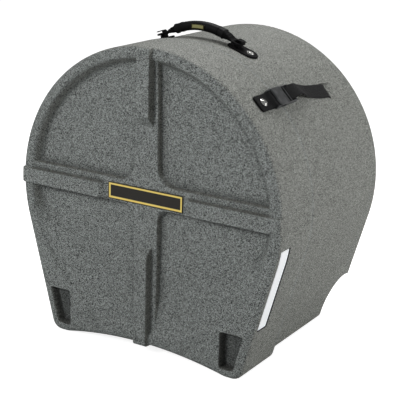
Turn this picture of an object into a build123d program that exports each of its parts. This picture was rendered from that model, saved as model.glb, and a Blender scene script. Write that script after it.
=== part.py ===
"""Round drum case with flattened leaning sides, in two moulded shells.

The lid is a shallow shell with a cross-ribbed face that slides over the neck of a deeper base.
Two webbing straps with side-release buckles hold it, and a moulded handle stands on the top.
Frame: X to the right as seen from the face, Y from the face to the back, Z up, floor at zero.
"""
from build123d import *
import os
from math import asin, cos, degrees, radians, sin, sqrt, tan

# Overall form of the case
lid_radius = 340.0
centre_height = 360.0
case_depth = 496.4
side_lean = 15.2
foot_corner = 28.0
foot_land = 39.5
arch_rise = 23.4
arch_blend = 60.0

# Shell walls and the joint between lid and base
wall = 4.5
slide_gap = 0.5
lid_depth = 145.0
neck_length = 45.0
base_lift = 18.0
front_edge_round = 13.0
rear_edge_round = 16.0
step_share = 0.4
overrun = 40.0

# Relief moulded into both faces
relief_offset = 2.0
relief_margin = 34.0
plateau_drop = 7.5
recess_drop = 22.0
recess_draft = 6.0
recess_floor_round = 6.0
recess_outer_round = 16.0
upper_hub_round = 40.0
lower_hub_round = 25.0
bar_half_width = 26.5
hub_half_width = 33.5
shelf_rise = 41.0
shelf_fall = 15.0
rib_proud = 12.0
rib_half_width = 15.0
rib_draft = 7.0
rib_crest_round = 4.0
upper_rib_reach = 176.0
lower_rib_reach = 108.0
cross_rib_offset = 8.0
cross_rib_left_end = 116.0
cross_rib_right_end = 122.0
rear_rib_margin = 16.0

# Finger pockets in the lower corners of the face
pocket_inset = 12.0
pocket_bottom = 20.0
pocket_top = 106.0
pocket_margin = 21.0
pocket_drop = 20.0
pocket_round = 5.0

# Wheel arches and skids of the base
wheel_arch_radius = 75.5
wheel_arch_height = 40.0
wheel_arch_setback = 36.0
wheel_arch_inset = 18.0
skid_gap = 9.0
skid_width = 38.0
skid_front = 118.0
skid_round = 6.0

# Badge on the hub and name panel on the side of the lid
badge_length = 196.7
badge_height = 38.2
badge_thickness = 2.0
badge_offset = 10.5
badge_rim = 2.6
badge_rim_height = 0.6
badge_corner = 2.0
panel_start = 12.0
panel_width = 39.4
panel_bottom = 122.0
panel_top = 311.0
panel_thickness = 1.2
seat_gap = 0.3

# Foam
pad_thickness = 10.0
pad_margin = 3.0
liner_thickness = 6.0

# Rivets, cup washers and backing washers
rivet_radius = 2.4
rivet_clearance = 0.1
rivet_head_radius = 5.0
rivet_head_height = 2.2
rivet_tail_radius = 4.2
rivet_tail_height = 1.6
cup_radius = 9.5
cup_height = 2.4
cup_floor = 1.0
cup_edge = 0.8
cup_land = 3.4
backing_radius = 8.0
backing_thickness = 1.2

# Strap stations on the barrel: angles are measured from the top, places along the case from the seam
tab_angle = 45.3
tab_rivet_place = -66.8
tab_front_place = -89.8
tab_width = 39.0
tab_thickness = 3.4
tab_corner = 8.0
loop_wall = 1.7
loop_gap = 0.3
bar_radius = 2.9

# Side-release buckle
buckle_width = 44.0
buckle_bar_place = -30.8
buckle_front_place = -23.8
buckle_rear_place = 8.2
buckle_bottom = 0.8
buckle_height = 12.0
buckle_round = 3.0
buckle_arm = 2.4
throat_width = 34.0
throat_height = 6.4
throat_depth = 28.0
window_front_place = -16.8
window_rear_place = -0.8
prong_width = 5.4
prong_gap = 0.4
guide_width = 7.0
guide_length = 20.0
clip_rear_place = 49.2
clip_width = 43.0
clip_height = 9.0
clip_shoulder = 9.0
clip_window_width = 38.6
clip_bar_radius = 2.3
clip_travel_gap = 0.3

# Webbing straps and their slots in the base
webbing_width = 37.0
webbing_thickness = 1.8
strap_skew = 5.9
strap_crest_place = 73.2
strap_crest_height = 19.0
strap_landing_place = 145.2
slot_place = 226.7
slot_opening = 5.0
slot_clearance = 2.0
slot_ramp = 21.0
slot_drop = 6.0
stop_bar_radius = 2.0

# Handle on top of the base
handle_place = 73.2
grip_sagitta = 13.5
grip_half_span = 65.0
grip_lift = 20.5
grip_height = 23.0
grip_depth = 27.0
grip_round = 8.0
core_thickness = 8.0
core_depth = 18.0
core_clearance = 0.3
plate_reach = 111.68
plate_length = 76.0
plate_width = 44.0
plate_thickness = 3.0
plate_rivet_reach = 130.38
ring_width = 33.0
ring_bar = 10.0
ring_side = 5.0
ring_thickness = 5.0
ring_length = 29.0
ring_end_place = -4.0
ring_rest_height = 9.3
ring_hole_length = 9.5
ring_round = 4.0
neck_width = 26.0
bridge_leg = 4.0
bridge_play = 2.5
bridge_travel = 4.3
bridge_roof = 2.6
bridge_foot = 4.2
bridge_width = 20.0
bridge_round = 1.5
grip_badge_length = 34.0
grip_badge_height = 10.0
grip_badge_thickness = 1.4

# Values worked out from the sizes above
front_plane = -case_depth / 2
rear_plane = case_depth / 2
seam_y = front_plane + lid_depth
neck_front = seam_y - neck_length
tab_rivet_y = seam_y + tab_rivet_place
tab_front_y = seam_y + tab_front_place
buckle_bar_y = seam_y + buckle_bar_place
buckle_front_y = seam_y + buckle_front_place
buckle_rear_y = seam_y + buckle_rear_place
window_front_y = seam_y + window_front_place
window_rear_y = seam_y + window_rear_place
clip_rear_y = seam_y + clip_rear_place
strap_crest_y = seam_y + strap_crest_place
strap_landing_y = seam_y + strap_landing_place
slot_y = seam_y + slot_place
handle_y = seam_y + handle_place
lid_inner_radius = lid_radius - wall
base_radius = lid_inner_radius - slide_gap
base_inner_radius = base_radius - wall
inner_arch_rise = arch_rise + wall - (base_lift - slide_gap)
recess_back = recess_drop + wall
relief_radius = lid_radius - relief_margin
relief_centre_height = centre_height + relief_offset
rear_rib_reach = relief_radius - rear_rib_margin
shelf_top = centre_height + shelf_rise
shelf_bottom = centre_height - shelf_fall
upper_rib_end = centre_height + upper_rib_reach
lower_rib_end = centre_height - lower_rib_reach
cross_rib_height = centre_height + cross_rib_offset
badge_centre_height = centre_height + badge_offset
grip_arc_radius = (grip_half_span ** 2 + grip_sagitta ** 2) / (2 * grip_sagitta)
grip_centre_height = centre_height + lid_radius + grip_lift
grip_arc_height = grip_centre_height - grip_arc_radius
grip_half_angle = degrees(asin(grip_half_span / grip_arc_radius))
plate_angle = degrees(plate_reach / base_radius)
plate_rivet_angle = degrees(plate_rivet_reach / base_radius)


def side_join(radius):
    """Point, in X and Z, where the round top runs over into the leaning side."""
    lean = radians(side_lean)
    return radius * cos(lean), centre_height - radius * sin(lean)


def foot_reach(radius, floor):
    """Half width between the leaning sides at the floor of a section."""
    join_x, join_z = side_join(radius)
    return join_x - (join_z - floor) * tan(radians(side_lean))


# Places that follow from the width between the leaning sides at the floor
arch_half_span = foot_reach(lid_radius, 0) - foot_land
pocket_inner = arch_half_span - pocket_inset
wheel_arch_inner = arch_half_span - wheel_arch_inset
skid_outer = wheel_arch_inner - skid_gap
skid_inner = skid_outer - skid_width


def outline(radius, floor, rise, corner):
    """Section of the case: round top, sides that lean in to two feet, and an arch between them."""
    join_x, join_z = side_join(radius)
    foot_x = foot_reach(radius, floor)
    edges = [
        CenterArc((0, centre_height), radius, -side_lean, 180 + 2 * side_lean),
        Line((join_x, join_z), (foot_x, floor)),
        Line((foot_x, floor), (arch_half_span, floor)),
        ThreePointArc((arch_half_span, floor), (0, floor + rise), (-arch_half_span, floor)),
        Line((-arch_half_span, floor), (-foot_x, floor)),
        Line((-foot_x, floor), (-join_x, join_z)),
    ]
    face = make_face(edges)
    low = face.vertices().group_by(Axis.Y)[0].sort_by(Axis.X)
    face = fillet([low[0], low[-1]], corner)
    low = face.vertices().group_by(Axis.Y)[0].sort_by(Axis.X)
    return fillet([low[1], low[-2]], arch_blend)


def slab(face, front, rear, taper=0):
    """Solid of a face drawn in X and Z, from one depth to another; taper narrows it to the front."""
    return extrude(Plane.XZ.offset(-rear) * face, rear - front, taper=taper)


def lid_section(growth=0):
    """Outline of the lid, moved outwards by growth."""
    return outline(lid_radius + growth, -growth, arch_rise, foot_corner + growth)


def inner_section(inset):
    """Outline of the space inside the lid wall, moved inwards by inset."""
    radius = lid_inner_radius - inset
    corner = foot_corner - wall - inset
    return outline(radius, base_lift - slide_gap + inset, inner_arch_rise, corner)


def mirrored(part):
    """The same piece on the other side of the case."""
    return mirror(part, about=Plane.YZ)


def eased(body, front, radius):
    """Round the edge of a block's front or rear face in three flat steps, as wide as a fillet."""
    face = 0 if front else -1
    first = radius * (2 - sqrt(2))
    body = chamfer(body.edges().group_by(Axis.Y)[face], first)
    rings = body.edges().group_by(Axis.Y)
    both = rings[0] + rings[2] if front else rings[-1] + rings[-3]
    return chamfer(both, first * step_share)


def both_sides(part):
    """A right-hand piece and its left-hand twin as one group."""
    return Compound([*part.solids(), *mirrored(part).solids()])


def barrel_plane(angle, y, radius):
    """Plane that touches the barrel: its x runs down the side, its y to the back, its z outwards."""
    turn = radians(angle)
    place = (radius * sin(turn), y, centre_height + radius * cos(turn))
    return Plane(origin=place, x_dir=(cos(turn), 0, -sin(turn)), z_dir=(sin(turn), 0, cos(turn)))


def block(x_low, x_high, y_low, y_high, z_low, z_high):
    """Box between six limits."""
    middle = ((x_low + x_high) / 2, (y_low + y_high) / 2, (z_low + z_high) / 2)
    return Pos(*middle) * Box(x_high - x_low, y_high - y_low, z_high - z_low)


def recess_face(upper):
    """Right-hand quarter recess of the relief, above or below the cross bar."""
    shelf = shelf_top if upper else shelf_bottom
    far = centre_height + lid_radius if upper else -centre_height
    points = [(hub_half_width, shelf), (lid_radius, shelf), (lid_radius, far), (bar_half_width, far)]
    quarter = make_face(Polyline(*points, close=True))
    face = quarter & Pos(0, relief_centre_height) * Circle(relief_radius)
    corners = face.vertices().sort_by_distance((0, relief_centre_height, 0))
    face = fillet(corners[1:], recess_outer_round)
    corner = face.vertices().sort_by_distance((0, relief_centre_height, 0))[0]
    return fillet(corner, upper_hub_round if upper else lower_hub_round)


def recess_faces():
    """All four quarter recesses."""
    right = [recess_face(True), recess_face(False)]
    return right + [mirrored(face) for face in right]


def pocket_face():
    """Right-hand finger pocket: upright inside edge, outside edge parallel to the leaning side."""
    lean = radians(side_lean)
    edge_x = foot_reach(lid_radius, 0) - pocket_margin / cos(lean)
    points = [
        (pocket_inner, pocket_bottom),
        (edge_x + pocket_bottom * tan(lean), pocket_bottom),
        (edge_x + pocket_top * tan(lean), pocket_top),
        (pocket_inner, pocket_top),
    ]
    face = make_face(Polyline(*points, close=True))
    return fillet(face.vertices(), pocket_round)


def face_rib(length, middle_x, middle_z, upright):
    """One raised rib with drafted sides, standing on the plateau and proud of the rim."""
    width = 2 * rib_half_width
    face = Rectangle(width, length) if upright else Rectangle(length, width)
    rib = slab(Pos(middle_x, middle_z) * face, front_plane - rib_proud, front_plane + plateau_drop, rib_draft)
    return chamfer(rib.edges().group_by(Axis.Y)[0], rib_crest_round / 2)


def face_ribs(section, far):
    """The four ribs of the cross, as far out as given, cut off where they reach the barrel."""
    top = relief_centre_height + far
    bottom = relief_centre_height - far
    ribs = [
        face_rib(top - upper_rib_end, 0, (top + upper_rib_end) / 2, True),
        face_rib(lower_rib_end - bottom, 0, (lower_rib_end + bottom) / 2, True),
        face_rib(far - cross_rib_left_end, -(far + cross_rib_left_end) / 2, cross_rib_height, False),
        face_rib(far - cross_rib_right_end, (far + cross_rib_right_end) / 2, cross_rib_height, False),
    ]
    limit = slab(section, front_plane - rib_proud, front_plane + plateau_drop)
    return [rib & limit for rib in ribs]


def add_relief(body, section, rib_reach):
    """Mould the disc, the four recesses and the cross of ribs into the front of a block."""
    disc = Pos(0, relief_centre_height) * Circle(relief_radius + recess_floor_round)
    body -= slab(disc, front_plane - overrun, front_plane + plateau_drop)
    for face in recess_faces():
        floor = front_plane + recess_drop
        tool = extrude(Plane.XZ.offset(-floor) * face, recess_drop, taper=-recess_draft)
        body -= chamfer(tool.edges().group_by(Axis.Y)[-1], recess_floor_round / 2)
    for rib in face_ribs(section, rib_reach):
        body += rib
    return body


def relief_backs():
    """Solids that keep the wall thickness behind the disc and the recesses."""
    grown = relief_radius + recess_floor_round + wall
    disc = Pos(0, relief_centre_height) * Circle(grown)
    backs = [slab(disc, front_plane, front_plane + plateau_drop + wall)]
    for face in recess_faces():
        backs.append(slab(offset(face, wall), front_plane, front_plane + recess_back))
    return backs


def lid_shell():
    """Front shell: ribbed face, finger pockets, feet and the skirt that covers the base's neck."""
    section = lid_section()
    body = slab(section, front_plane, seam_y)
    body = eased(body, True, front_edge_round)
    body = add_relief(body, section, lid_radius + overrun)
    cavity = slab(inner_section(0), front_plane + wall, seam_y)
    for back in relief_backs():
        cavity -= back
    for pocket in (pocket_face(), mirrored(pocket_face())):
        body -= slab(pocket, front_plane - overrun, front_plane + pocket_drop)
        cavity -= slab(offset(pocket, wall), front_plane, front_plane + pocket_drop + wall)
    return body - cavity - both_sides(rivet_hole(tab_angle, tab_rivet_y, lid_radius))


def wheel_arches(growth):
    """Round cut-outs across the rear lower corners."""
    reach = lid_radius
    bore = Rot(0, 90, 0) * Cylinder(wheel_arch_radius + growth, reach)
    x = wheel_arch_inner - growth + reach / 2
    arch = Pos(x, rear_plane - wheel_arch_setback, wheel_arch_height) * bore
    return [arch, mirrored(arch)]


def skids():
    """Two runners under the rear of the base, between the wheel arches."""
    runner = block(skid_inner, skid_outer, skid_front, rear_plane - rear_edge_round, 0, base_lift + 2 * wall)
    runner = fillet(runner.edges().group_by(Axis.Z)[0], skid_round)
    return [runner, mirrored(runner)]


def slot_profile(depth, margin):
    """Side view of the dished strap slot: ramps fall from both sides to the slit."""
    half = slot_opening / 2
    points = [
        (slot_y - half - slot_ramp - margin, overrun),
        (slot_y - half - slot_ramp - margin, -margin),
        (slot_y - half - margin, -depth),
        (slot_y + half + margin, -depth),
        (slot_y + half + slot_ramp + margin, -margin),
        (slot_y + half + slot_ramp + margin, overrun),
    ]
    return make_face(Polyline(*points, close=True))


def across(face, width):
    """A face drawn along the case and outwards, made a solid of a width centred on the plane."""
    return extrude(Plane.YZ * face, width / 2, both=True)


def slot_recess():
    """Dish for the strap in the outside of the base."""
    return strap_plane() * across(slot_profile(slot_drop, 0), webbing_width + 2 * slot_clearance)


def slot_slit():
    """Slit at the bottom of the dish, through the wall."""
    half = (webbing_width + 2 * slot_clearance) / 2
    low = -(slot_drop + 2 * wall)
    return strap_plane() * block(-half, half, slot_y - slot_opening / 2, slot_y + slot_opening / 2, low, 0)


def slot_boss():
    """Thickening inside the wall that carries the dish."""
    width = webbing_width + 2 * slot_clearance + 2 * wall
    return strap_plane() * across(slot_profile(slot_drop + wall, wall), width)


def base_shell():
    """Rear shell: neck, barrel, ribbed back, wheel arches, skids and the two strap slots."""
    section = inner_section(slide_gap)
    body = slab(section, neck_front, rear_plane)
    body = eased(body, False, rear_edge_round)
    body = mirror(add_relief(mirror(body, about=Plane.XZ), section, rear_rib_reach), about=Plane.XZ)
    for skid in skids():
        body += skid
    cavity = slab(inner_section(slide_gap + wall), neck_front, rear_plane - wall)
    for back in relief_backs():
        cavity -= mirror(back, about=Plane.XZ)
    for arch, inner_arch in zip(wheel_arches(0), wheel_arches(wall)):
        body -= arch
        cavity -= inner_arch
    for boss in (slot_boss(), mirrored(slot_boss())):
        cavity -= boss
    shell = body - cavity
    for tool in (slot_recess(), slot_slit(), rivet_hole(plate_rivet_angle, handle_y, base_radius)):
        shell -= tool
        shell -= mirrored(tool)
    return shell


def rivet_hole(angle, y, radius):
    """Clearance hole for a rivet through a wall, at an angle round the barrel."""
    hole = Cylinder(rivet_radius + rivet_clearance, 6 * wall)
    return barrel_plane(angle, y, radius) * hole


def turned(points):
    """Solid turned round the upright axis from radius and height pairs."""
    return revolve(Plane.XZ * make_face(Polyline(*points, close=True)), Axis.Z)


def cup_washer():
    """Dished washer that stands on what the rivet clamps."""
    bore = rivet_radius + rivet_clearance
    lip = cup_radius - cup_land
    return turned([
        (bore, 0),
        (cup_radius, 0),
        (cup_radius, cup_edge),
        (cup_radius - cup_land / 2, cup_height),
        (lip, cup_height),
        (lip - rivet_clearance, cup_floor),
        (bore, cup_floor),
    ])


def backing_washer():
    """Flat washer under a rivet's tail, its top at zero."""
    ring = Cylinder(backing_radius, backing_thickness, align=(Align.CENTER, Align.CENTER, Align.MAX))
    return ring - Cylinder(rivet_radius + rivet_clearance, 4 * backing_thickness)


def rivet(head_seat, tail_seat):
    """Domed rivet clinched between two seats."""
    head = Pos(0, 0, head_seat) * turned([
        (0, 0),
        (rivet_head_radius, 0),
        (rivet_head_radius, rivet_head_height / 4),
        (rivet_head_radius * 3 / 4, rivet_head_height * 4 / 5),
        (rivet_head_radius / 3, rivet_head_height),
        (0, rivet_head_height),
    ])
    shank = Pos(0, 0, tail_seat) * Cylinder(
        rivet_radius, head_seat - tail_seat, align=(Align.CENTER, Align.CENTER, Align.MIN))
    tail = Pos(0, 0, tail_seat) * Cylinder(
        rivet_tail_radius, rivet_tail_height, align=(Align.CENTER, Align.CENTER, Align.MAX))
    return head + shank + tail


def anchor_tab():
    """Doubled webbing tab riveted to the lid, folded round the buckle's bar."""
    rear = buckle_bar_y
    inner = bar_radius + loop_gap
    centre = seat_gap + inner + loop_wall
    flat = block(-tab_width / 2, tab_width / 2, tab_front_y, rear, seat_gap, seat_gap + tab_thickness)
    flat = chamfer(flat.edges().filter_by(Axis.Z).group_by(Axis.Y)[0], tab_corner)
    turn = Rot(0, 90, 0)
    ring = Pos(0, rear, centre) * (turn * Cylinder(inner + loop_wall, tab_width))
    bore = Pos(0, rear, centre) * (turn * Cylinder(inner, tab_width + overrun))
    tab = flat + ring - bore
    tab -= Pos(0, tab_rivet_y, 0) * Cylinder(rivet_radius + rivet_clearance, overrun)
    return barrel_plane(tab_angle, 0, lid_radius) * tab


def rounded_block(x_half, y_low, y_high, z_low, z_high, radius):
    """Box centred across X with its long upper edges and its upright edges rounded."""
    body = block(-x_half, x_half, y_low, y_high, z_low, z_high)
    body = chamfer(body.edges().group_by(Axis.Z)[-1], radius / 2)
    return fillet(body.edges().filter_by(Axis.Z), radius / 2)


def prong_windows():
    """Side windows of the buckle where the prongs are squeezed."""
    outer = buckle_width / 2 + overrun
    inner = throat_width / 2 - prong_width / 2
    low, high = throat_levels()
    window = block(inner, outer, window_front_y, window_rear_y, low, high)
    return [window, mirrored(window)]


def throat_levels():
    """Lower and upper level of the buckle's throat."""
    middle = buckle_bottom + buckle_height / 2
    return middle - throat_height / 2, middle + throat_height / 2


def buckle_body():
    """Female half of the side-release buckle, with its bar for the tab."""
    top = buckle_bottom + buckle_height
    half = buckle_width / 2
    body = rounded_block(half, buckle_front_y, buckle_rear_y, buckle_bottom, top, buckle_round)
    low, high = throat_levels()
    half_throat = throat_width / 2
    body -= block(-half_throat, half_throat, buckle_rear_y - throat_depth, buckle_rear_y + overrun, low, high)
    for window in prong_windows():
        body -= window
    bar_centre = seat_gap + bar_radius + loop_gap + loop_wall
    for side in (-1, 1):
        inner = side * (tab_width / 2 + loop_gap)
        low_x, high_x = sorted((inner, side * half))
        arm_front = buckle_bar_y - bar_radius - buckle_arm
        body += block(low_x, high_x, arm_front, buckle_front_y + buckle_round, buckle_bottom, high)
    bar = Rot(0, 90, 0) * Cylinder(bar_radius, buckle_width - buckle_round / 2)
    body += Pos(0, buckle_bar_y, bar_centre) * bar
    return barrel_plane(tab_angle, 0, lid_radius) * body


def clip_prong():
    """Right-hand sprung prong of the clip, with its thumb pad in the buckle's window."""
    outer = throat_width / 2 - prong_gap
    low, high = throat_levels()
    front = window_front_y + prong_gap
    points = [
        (outer - prong_width, buckle_rear_y + clip_travel_gap),
        (outer - prong_width - prong_gap, window_rear_y),
        (outer - prong_width, front + prong_width),
        (outer - prong_width / 2, front),
        (outer, front + prong_width),
        (outer, buckle_rear_y + clip_travel_gap),
    ]
    face = make_face(Polyline(*points, close=True))
    return extrude(Plane.XY.offset(low + prong_gap) * face, high - low - 2 * prong_gap)


def buckle_clip():
    """Male half of the buckle: shoulder, two prongs, guide and two bars for the webbing."""
    front = buckle_rear_y + clip_travel_gap
    half = clip_width / 2
    low, high = throat_levels()
    bottom = low - (clip_height - throat_height) / 2
    body = rounded_block(half, front, clip_rear_y, bottom, bottom + clip_height, buckle_round)
    shoulder_end = front + clip_shoulder
    bars_end = clip_rear_y - 2 * clip_bar_radius
    half_window = clip_window_width / 2
    body -= block(-half_window, half_window, shoulder_end, bars_end, bottom - overrun, bottom + overrun)
    middle_bar = Rot(0, 90, 0) * Cylinder(clip_bar_radius, clip_window_width + 2 * clip_bar_radius)
    body += Pos(0, (shoulder_end + bars_end) / 2, bottom + clip_height / 2) * middle_bar
    for prong in (clip_prong(), mirrored(clip_prong())):
        body += prong
    half_guide = guide_width / 2
    body += block(-half_guide, half_guide, front - guide_length, front, low + prong_gap, high - prong_gap)
    return barrel_plane(tab_angle, 0, lid_radius) * body


def strap_plane():
    """Plane on the base under the strap, turned so that its y runs from the clip to the slot."""
    middle_y = (slot_y + clip_rear_y) / 2
    shift = (slot_y - clip_rear_y) * tan(radians(strap_skew))
    angle = tab_angle + degrees(shift / 2 / base_radius)
    plane = barrel_plane(angle, middle_y, base_radius)
    return plane.location * Rot(0, 0, -strap_skew) * Pos(0, -middle_y, 0)


def clip_levels():
    """Lowest and highest level of the clip's frame, over the lid's surface."""
    low, high = throat_levels()
    spare = (clip_height - throat_height) / 2
    return low - spare, high + spare


def clip_bar_y():
    """Place of the clip's middle bar along the case."""
    window_front = buckle_rear_y + clip_travel_gap + clip_shoulder
    window_rear = clip_rear_y - 2 * clip_bar_radius
    return (window_front + window_rear) / 2


def strap_start():
    """Front of the strap, threaded under the clip's middle bar and over its rear bar."""
    low, high = clip_levels()
    lift = seat_gap + webbing_thickness / 2
    under = (low + high) / 2 - clip_bar_radius - lift
    over = high + lift
    bar_y = clip_bar_y()
    line = Polyline(
        (bar_y - clip_bar_radius, under),
        (bar_y + clip_bar_radius + webbing_thickness, under),
        (clip_rear_y - 2 * clip_bar_radius - 2 * webbing_thickness, over),
        (clip_rear_y + 2 * webbing_thickness, over),
    )
    return barrel_plane(tab_angle, 0, lid_radius) * across(trace(line, webbing_thickness), webbing_width)


def strap_run():
    """Rest of the strap: a loose crest behind the clip, a flat run and a dive into the slot."""
    lift = seat_gap + webbing_thickness / 2
    over = clip_levels()[1] + lift + lid_radius - base_radius
    slit_front = slot_y - slot_opening / 2
    half = webbing_thickness / 2
    line = Polyline(
        (clip_rear_y + webbing_thickness, over),
        (strap_crest_y, strap_crest_height),
        ((strap_crest_y + strap_landing_y) / 2, strap_crest_height / 3),
        (strap_landing_y, lift),
        (slit_front - slot_ramp, lift),
        (slit_front, -slot_drop + lift + half),
        (slot_y, -slot_drop - half),
        (slot_y, -stop_depth() + stop_bar_radius + loop_gap + half),
    )
    body = across(trace(line, webbing_thickness), webbing_width)
    centre = Pos(0, slot_y, -stop_depth())
    body += centre * (Rot(0, 90, 0) * Cylinder(stop_ring_radius(), webbing_width))
    body -= centre * (Rot(0, 90, 0) * Cylinder(stop_bar_radius + loop_gap, webbing_width + overrun))
    return strap_plane() * body


def stop_ring_radius():
    """Outer radius of the webbing's end loop round the stop bar."""
    return stop_bar_radius + loop_gap + webbing_thickness


def stop_depth():
    """Depth of the stop bar's centre below the base's outer surface."""
    return slot_drop + wall + seat_gap + stop_ring_radius()


def strap():
    """Whole webbing strap from the clip's bar to its end loop inside the base."""
    return strap_start() + strap_run()


def stop_bar():
    """Steel bar in the strap's end loop, too thick to pull back through the slit."""
    bar = Rot(0, 90, 0) * Cylinder(stop_bar_radius, webbing_width + 4 * slot_clearance)
    return strap_plane() * (Pos(0, slot_y, -stop_depth()) * bar)


def front_badge():
    """Bare badge on the hub, with a raised rim round a flat field."""
    outer = RectangleRounded(badge_length, badge_height, badge_corner)
    inner = RectangleRounded(badge_length - 2 * badge_rim, badge_height - 2 * badge_rim, badge_corner / 2)
    place = Pos(0, badge_centre_height)
    seat = front_plane + plateau_drop
    plate = slab(place * outer, seat - badge_thickness, seat)
    rim = slab(place * (outer - inner), seat - badge_thickness - badge_rim_height, seat - badge_thickness)
    return plate + rim


def name_panel():
    """Bare plate that follows the lid's side, from the leaning stretch on to the start of the round."""
    front = front_plane + panel_start
    outside = slab(lid_section(seat_gap + panel_thickness), front, front + panel_width)
    inside = slab(lid_section(seat_gap), front - overrun, front + panel_width + overrun)
    reach = lid_radius + overrun
    zone = block(0, reach, front - overrun, front + panel_width + overrun, panel_bottom, panel_top)
    return (outside - inside) & zone


def lid_foam_pad():
    """Foam disc against the inside of the ribbed face."""
    front = front_plane + recess_back
    return slab(inner_section(pad_margin), front, front + pad_thickness)


def base_foam_pad():
    """Foam disc against the inside of the back."""
    rear = rear_plane - recess_back
    pad = slab(inner_section(slide_gap + wall + pad_margin), rear - pad_thickness, rear)
    for arch in wheel_arches(wall + pad_margin):
        pad -= arch
    return pad


def barrel_liner():
    """Foam sleeve inside the base, cut out round the arches, the strap slots and the rivet tails."""
    outer = inner_section(slide_gap + wall + seat_gap)
    inner = inner_section(slide_gap + wall + seat_gap + liner_thickness)
    front = neck_front + pad_margin
    rear = rear_plane - recess_back - pad_thickness - seat_gap
    liner = slab(outer, front, rear) - slab(inner, front - overrun, rear + overrun)
    for arch in wheel_arches(wall + seat_gap):
        liner -= arch
    for tool in (slot_window(), rivet_window()):
        liner -= tool
        liner -= mirrored(tool)
    return liner


def slot_window():
    """Opening in the liner round the strap slot's boss and stop bar."""
    half_width = webbing_width / 2 + slot_clearance + wall + pad_margin
    half_length = slot_opening / 2 + slot_ramp + wall + pad_margin
    return strap_plane() * block(-half_width, half_width, slot_y - half_length, slot_y + half_length, -overrun, 0)


def rivet_window():
    """Hole in the liner round the backing washer of a handle rivet."""
    hole = Cylinder(backing_radius + pad_margin, overrun)
    return barrel_plane(plate_rivet_angle, handle_y, base_inner_radius) * hole


def arc_face(half_height, half_angle):
    """Side view of part of a ring about the grip's arc centre."""
    ring = Circle(grip_arc_radius + half_height) - Circle(grip_arc_radius - half_height)
    reach = 2 * grip_arc_radius
    turn = radians(half_angle)
    wedge = make_face(Polyline((0, 0), (-reach * tan(turn), reach), (reach * tan(turn), reach), close=True))
    return Pos(0, grip_arc_height) * (ring & wedge)


def arc_band(half_height, half_depth, half_angle):
    """Part of a ring about the grip's arc centre, as deep and high as given."""
    return slab(arc_face(half_height, half_angle), handle_y - half_depth, handle_y + half_depth)


def handle_grip():
    """Moulded sleeve round the handle's core, its long edges rounded in three flat steps."""
    body = arc_band(grip_height / 2, grip_depth / 2, grip_half_angle)
    first = grip_round * (2 - sqrt(2))
    for step in (first, first * step_share):
        body = chamfer([e for e in body.edges() if e.geom_type == GeomType.CIRCLE], step)
    bore = arc_band(core_thickness / 2 + core_clearance, core_depth / 2 + core_clearance, 2 * grip_half_angle)
    return body - bore


def plate_place(angle):
    """Plane on top of the base at the handle's depth."""
    return barrel_plane(angle, handle_y, base_radius)


def ring_point(along):
    """Point on the right-hand ring's middle line, in X and Z, at a place along the plate."""
    turn = radians(plate_angle)
    reach = base_radius + ring_rest_height + ring_thickness / 2
    return (reach * sin(turn) + along * cos(turn), centre_height + reach * cos(turn) - along * sin(turn))


def neck_start():
    """Place across the case where the wider neck begins, just clear of the grip's end."""
    return (grip_arc_radius + core_thickness / 2) * grip_half_span / grip_arc_radius + core_clearance


def core_side():
    """Side view of the core: its arc, with the right-hand neck and end ring."""
    reach = degrees(asin((grip_half_span + ring_round) / grip_arc_radius))
    start = (neck_start(), grip_arc_height + sqrt(grip_arc_radius ** 2 - neck_start() ** 2))
    inner = ring_point(ring_end_place - ring_length)
    neck = trace(Line(start, ring_point(ring_end_place - ring_length + ring_side)), core_thickness)
    ring = trace(Line(inner, ring_point(ring_end_place)), ring_thickness)
    return arc_face(core_thickness / 2, reach) + neck + ring


def core_plan():
    """Top view of the core's right half: a narrow strip in the grip, a wider neck and the ring."""
    inner = ring_point(ring_end_place - ring_length)[0]
    outer = ring_point(ring_end_place)[0]
    strip = Pos(inner / 2, 0) * Rectangle(inner, core_depth)
    neck = Pos((neck_start() + outer) / 2, 0) * Rectangle(outer - neck_start(), neck_width)
    ring = Pos((inner + outer) / 2, 0) * Rectangle(outer - inner, ring_width)
    plan = strip + neck + ring
    return fillet(plan.vertices().group_by(Axis.X)[-1], ring_round)


def ring_hole():
    """Hole in the right-hand ring that the plate's bridge passes through."""
    half = ring_width / 2 - ring_side
    end = ring_end_place - ring_bar
    high = ring_rest_height + ring_thickness + overrun
    hole = block(end - ring_hole_length, end, -half, half, ring_rest_height - overrun, high)
    return plate_place(plate_angle) * hole


def handle_core():
    """Bent core strip with a neck and a ring at each end."""
    half = slab(core_side(), handle_y - ring_width, handle_y + ring_width)
    half &= Pos(0, handle_y, 0) * extrude(core_plan(), 3 * centre_height)
    half -= ring_hole()
    return half + mirrored(half)


def grip_badge():
    """Bare badge that follows the front of the grip."""
    angle = degrees(grip_badge_length / 2 / grip_arc_radius)
    band = arc_band(grip_badge_height / 2, grip_depth / 2 + grip_badge_thickness, angle)
    body = arc_band(grip_height, grip_depth / 2, 2 * angle)
    rear = block(-grip_half_span, grip_half_span, handle_y, handle_y + overrun, 0, 3 * centre_height)
    return band - body - rear


def handle_plate():
    """Right-hand mounting plate: a stadium that follows the barrel, with a bridge over the ring."""
    low = base_radius + seat_gap
    middle = Pos(0, centre_height)
    ring = middle * (Circle(low + plate_thickness) - Circle(low))
    shell = slab(ring, handle_y - plate_width, handle_y + plate_width)
    stadium = SlotOverall(plate_length, plate_width)
    plate = shell & (plate_place(plate_angle) * extrude(stadium, overrun))
    plate += plate_place(plate_angle) * bridge()
    return plate - rivet_hole(plate_rivet_angle, handle_y, base_radius)


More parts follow.
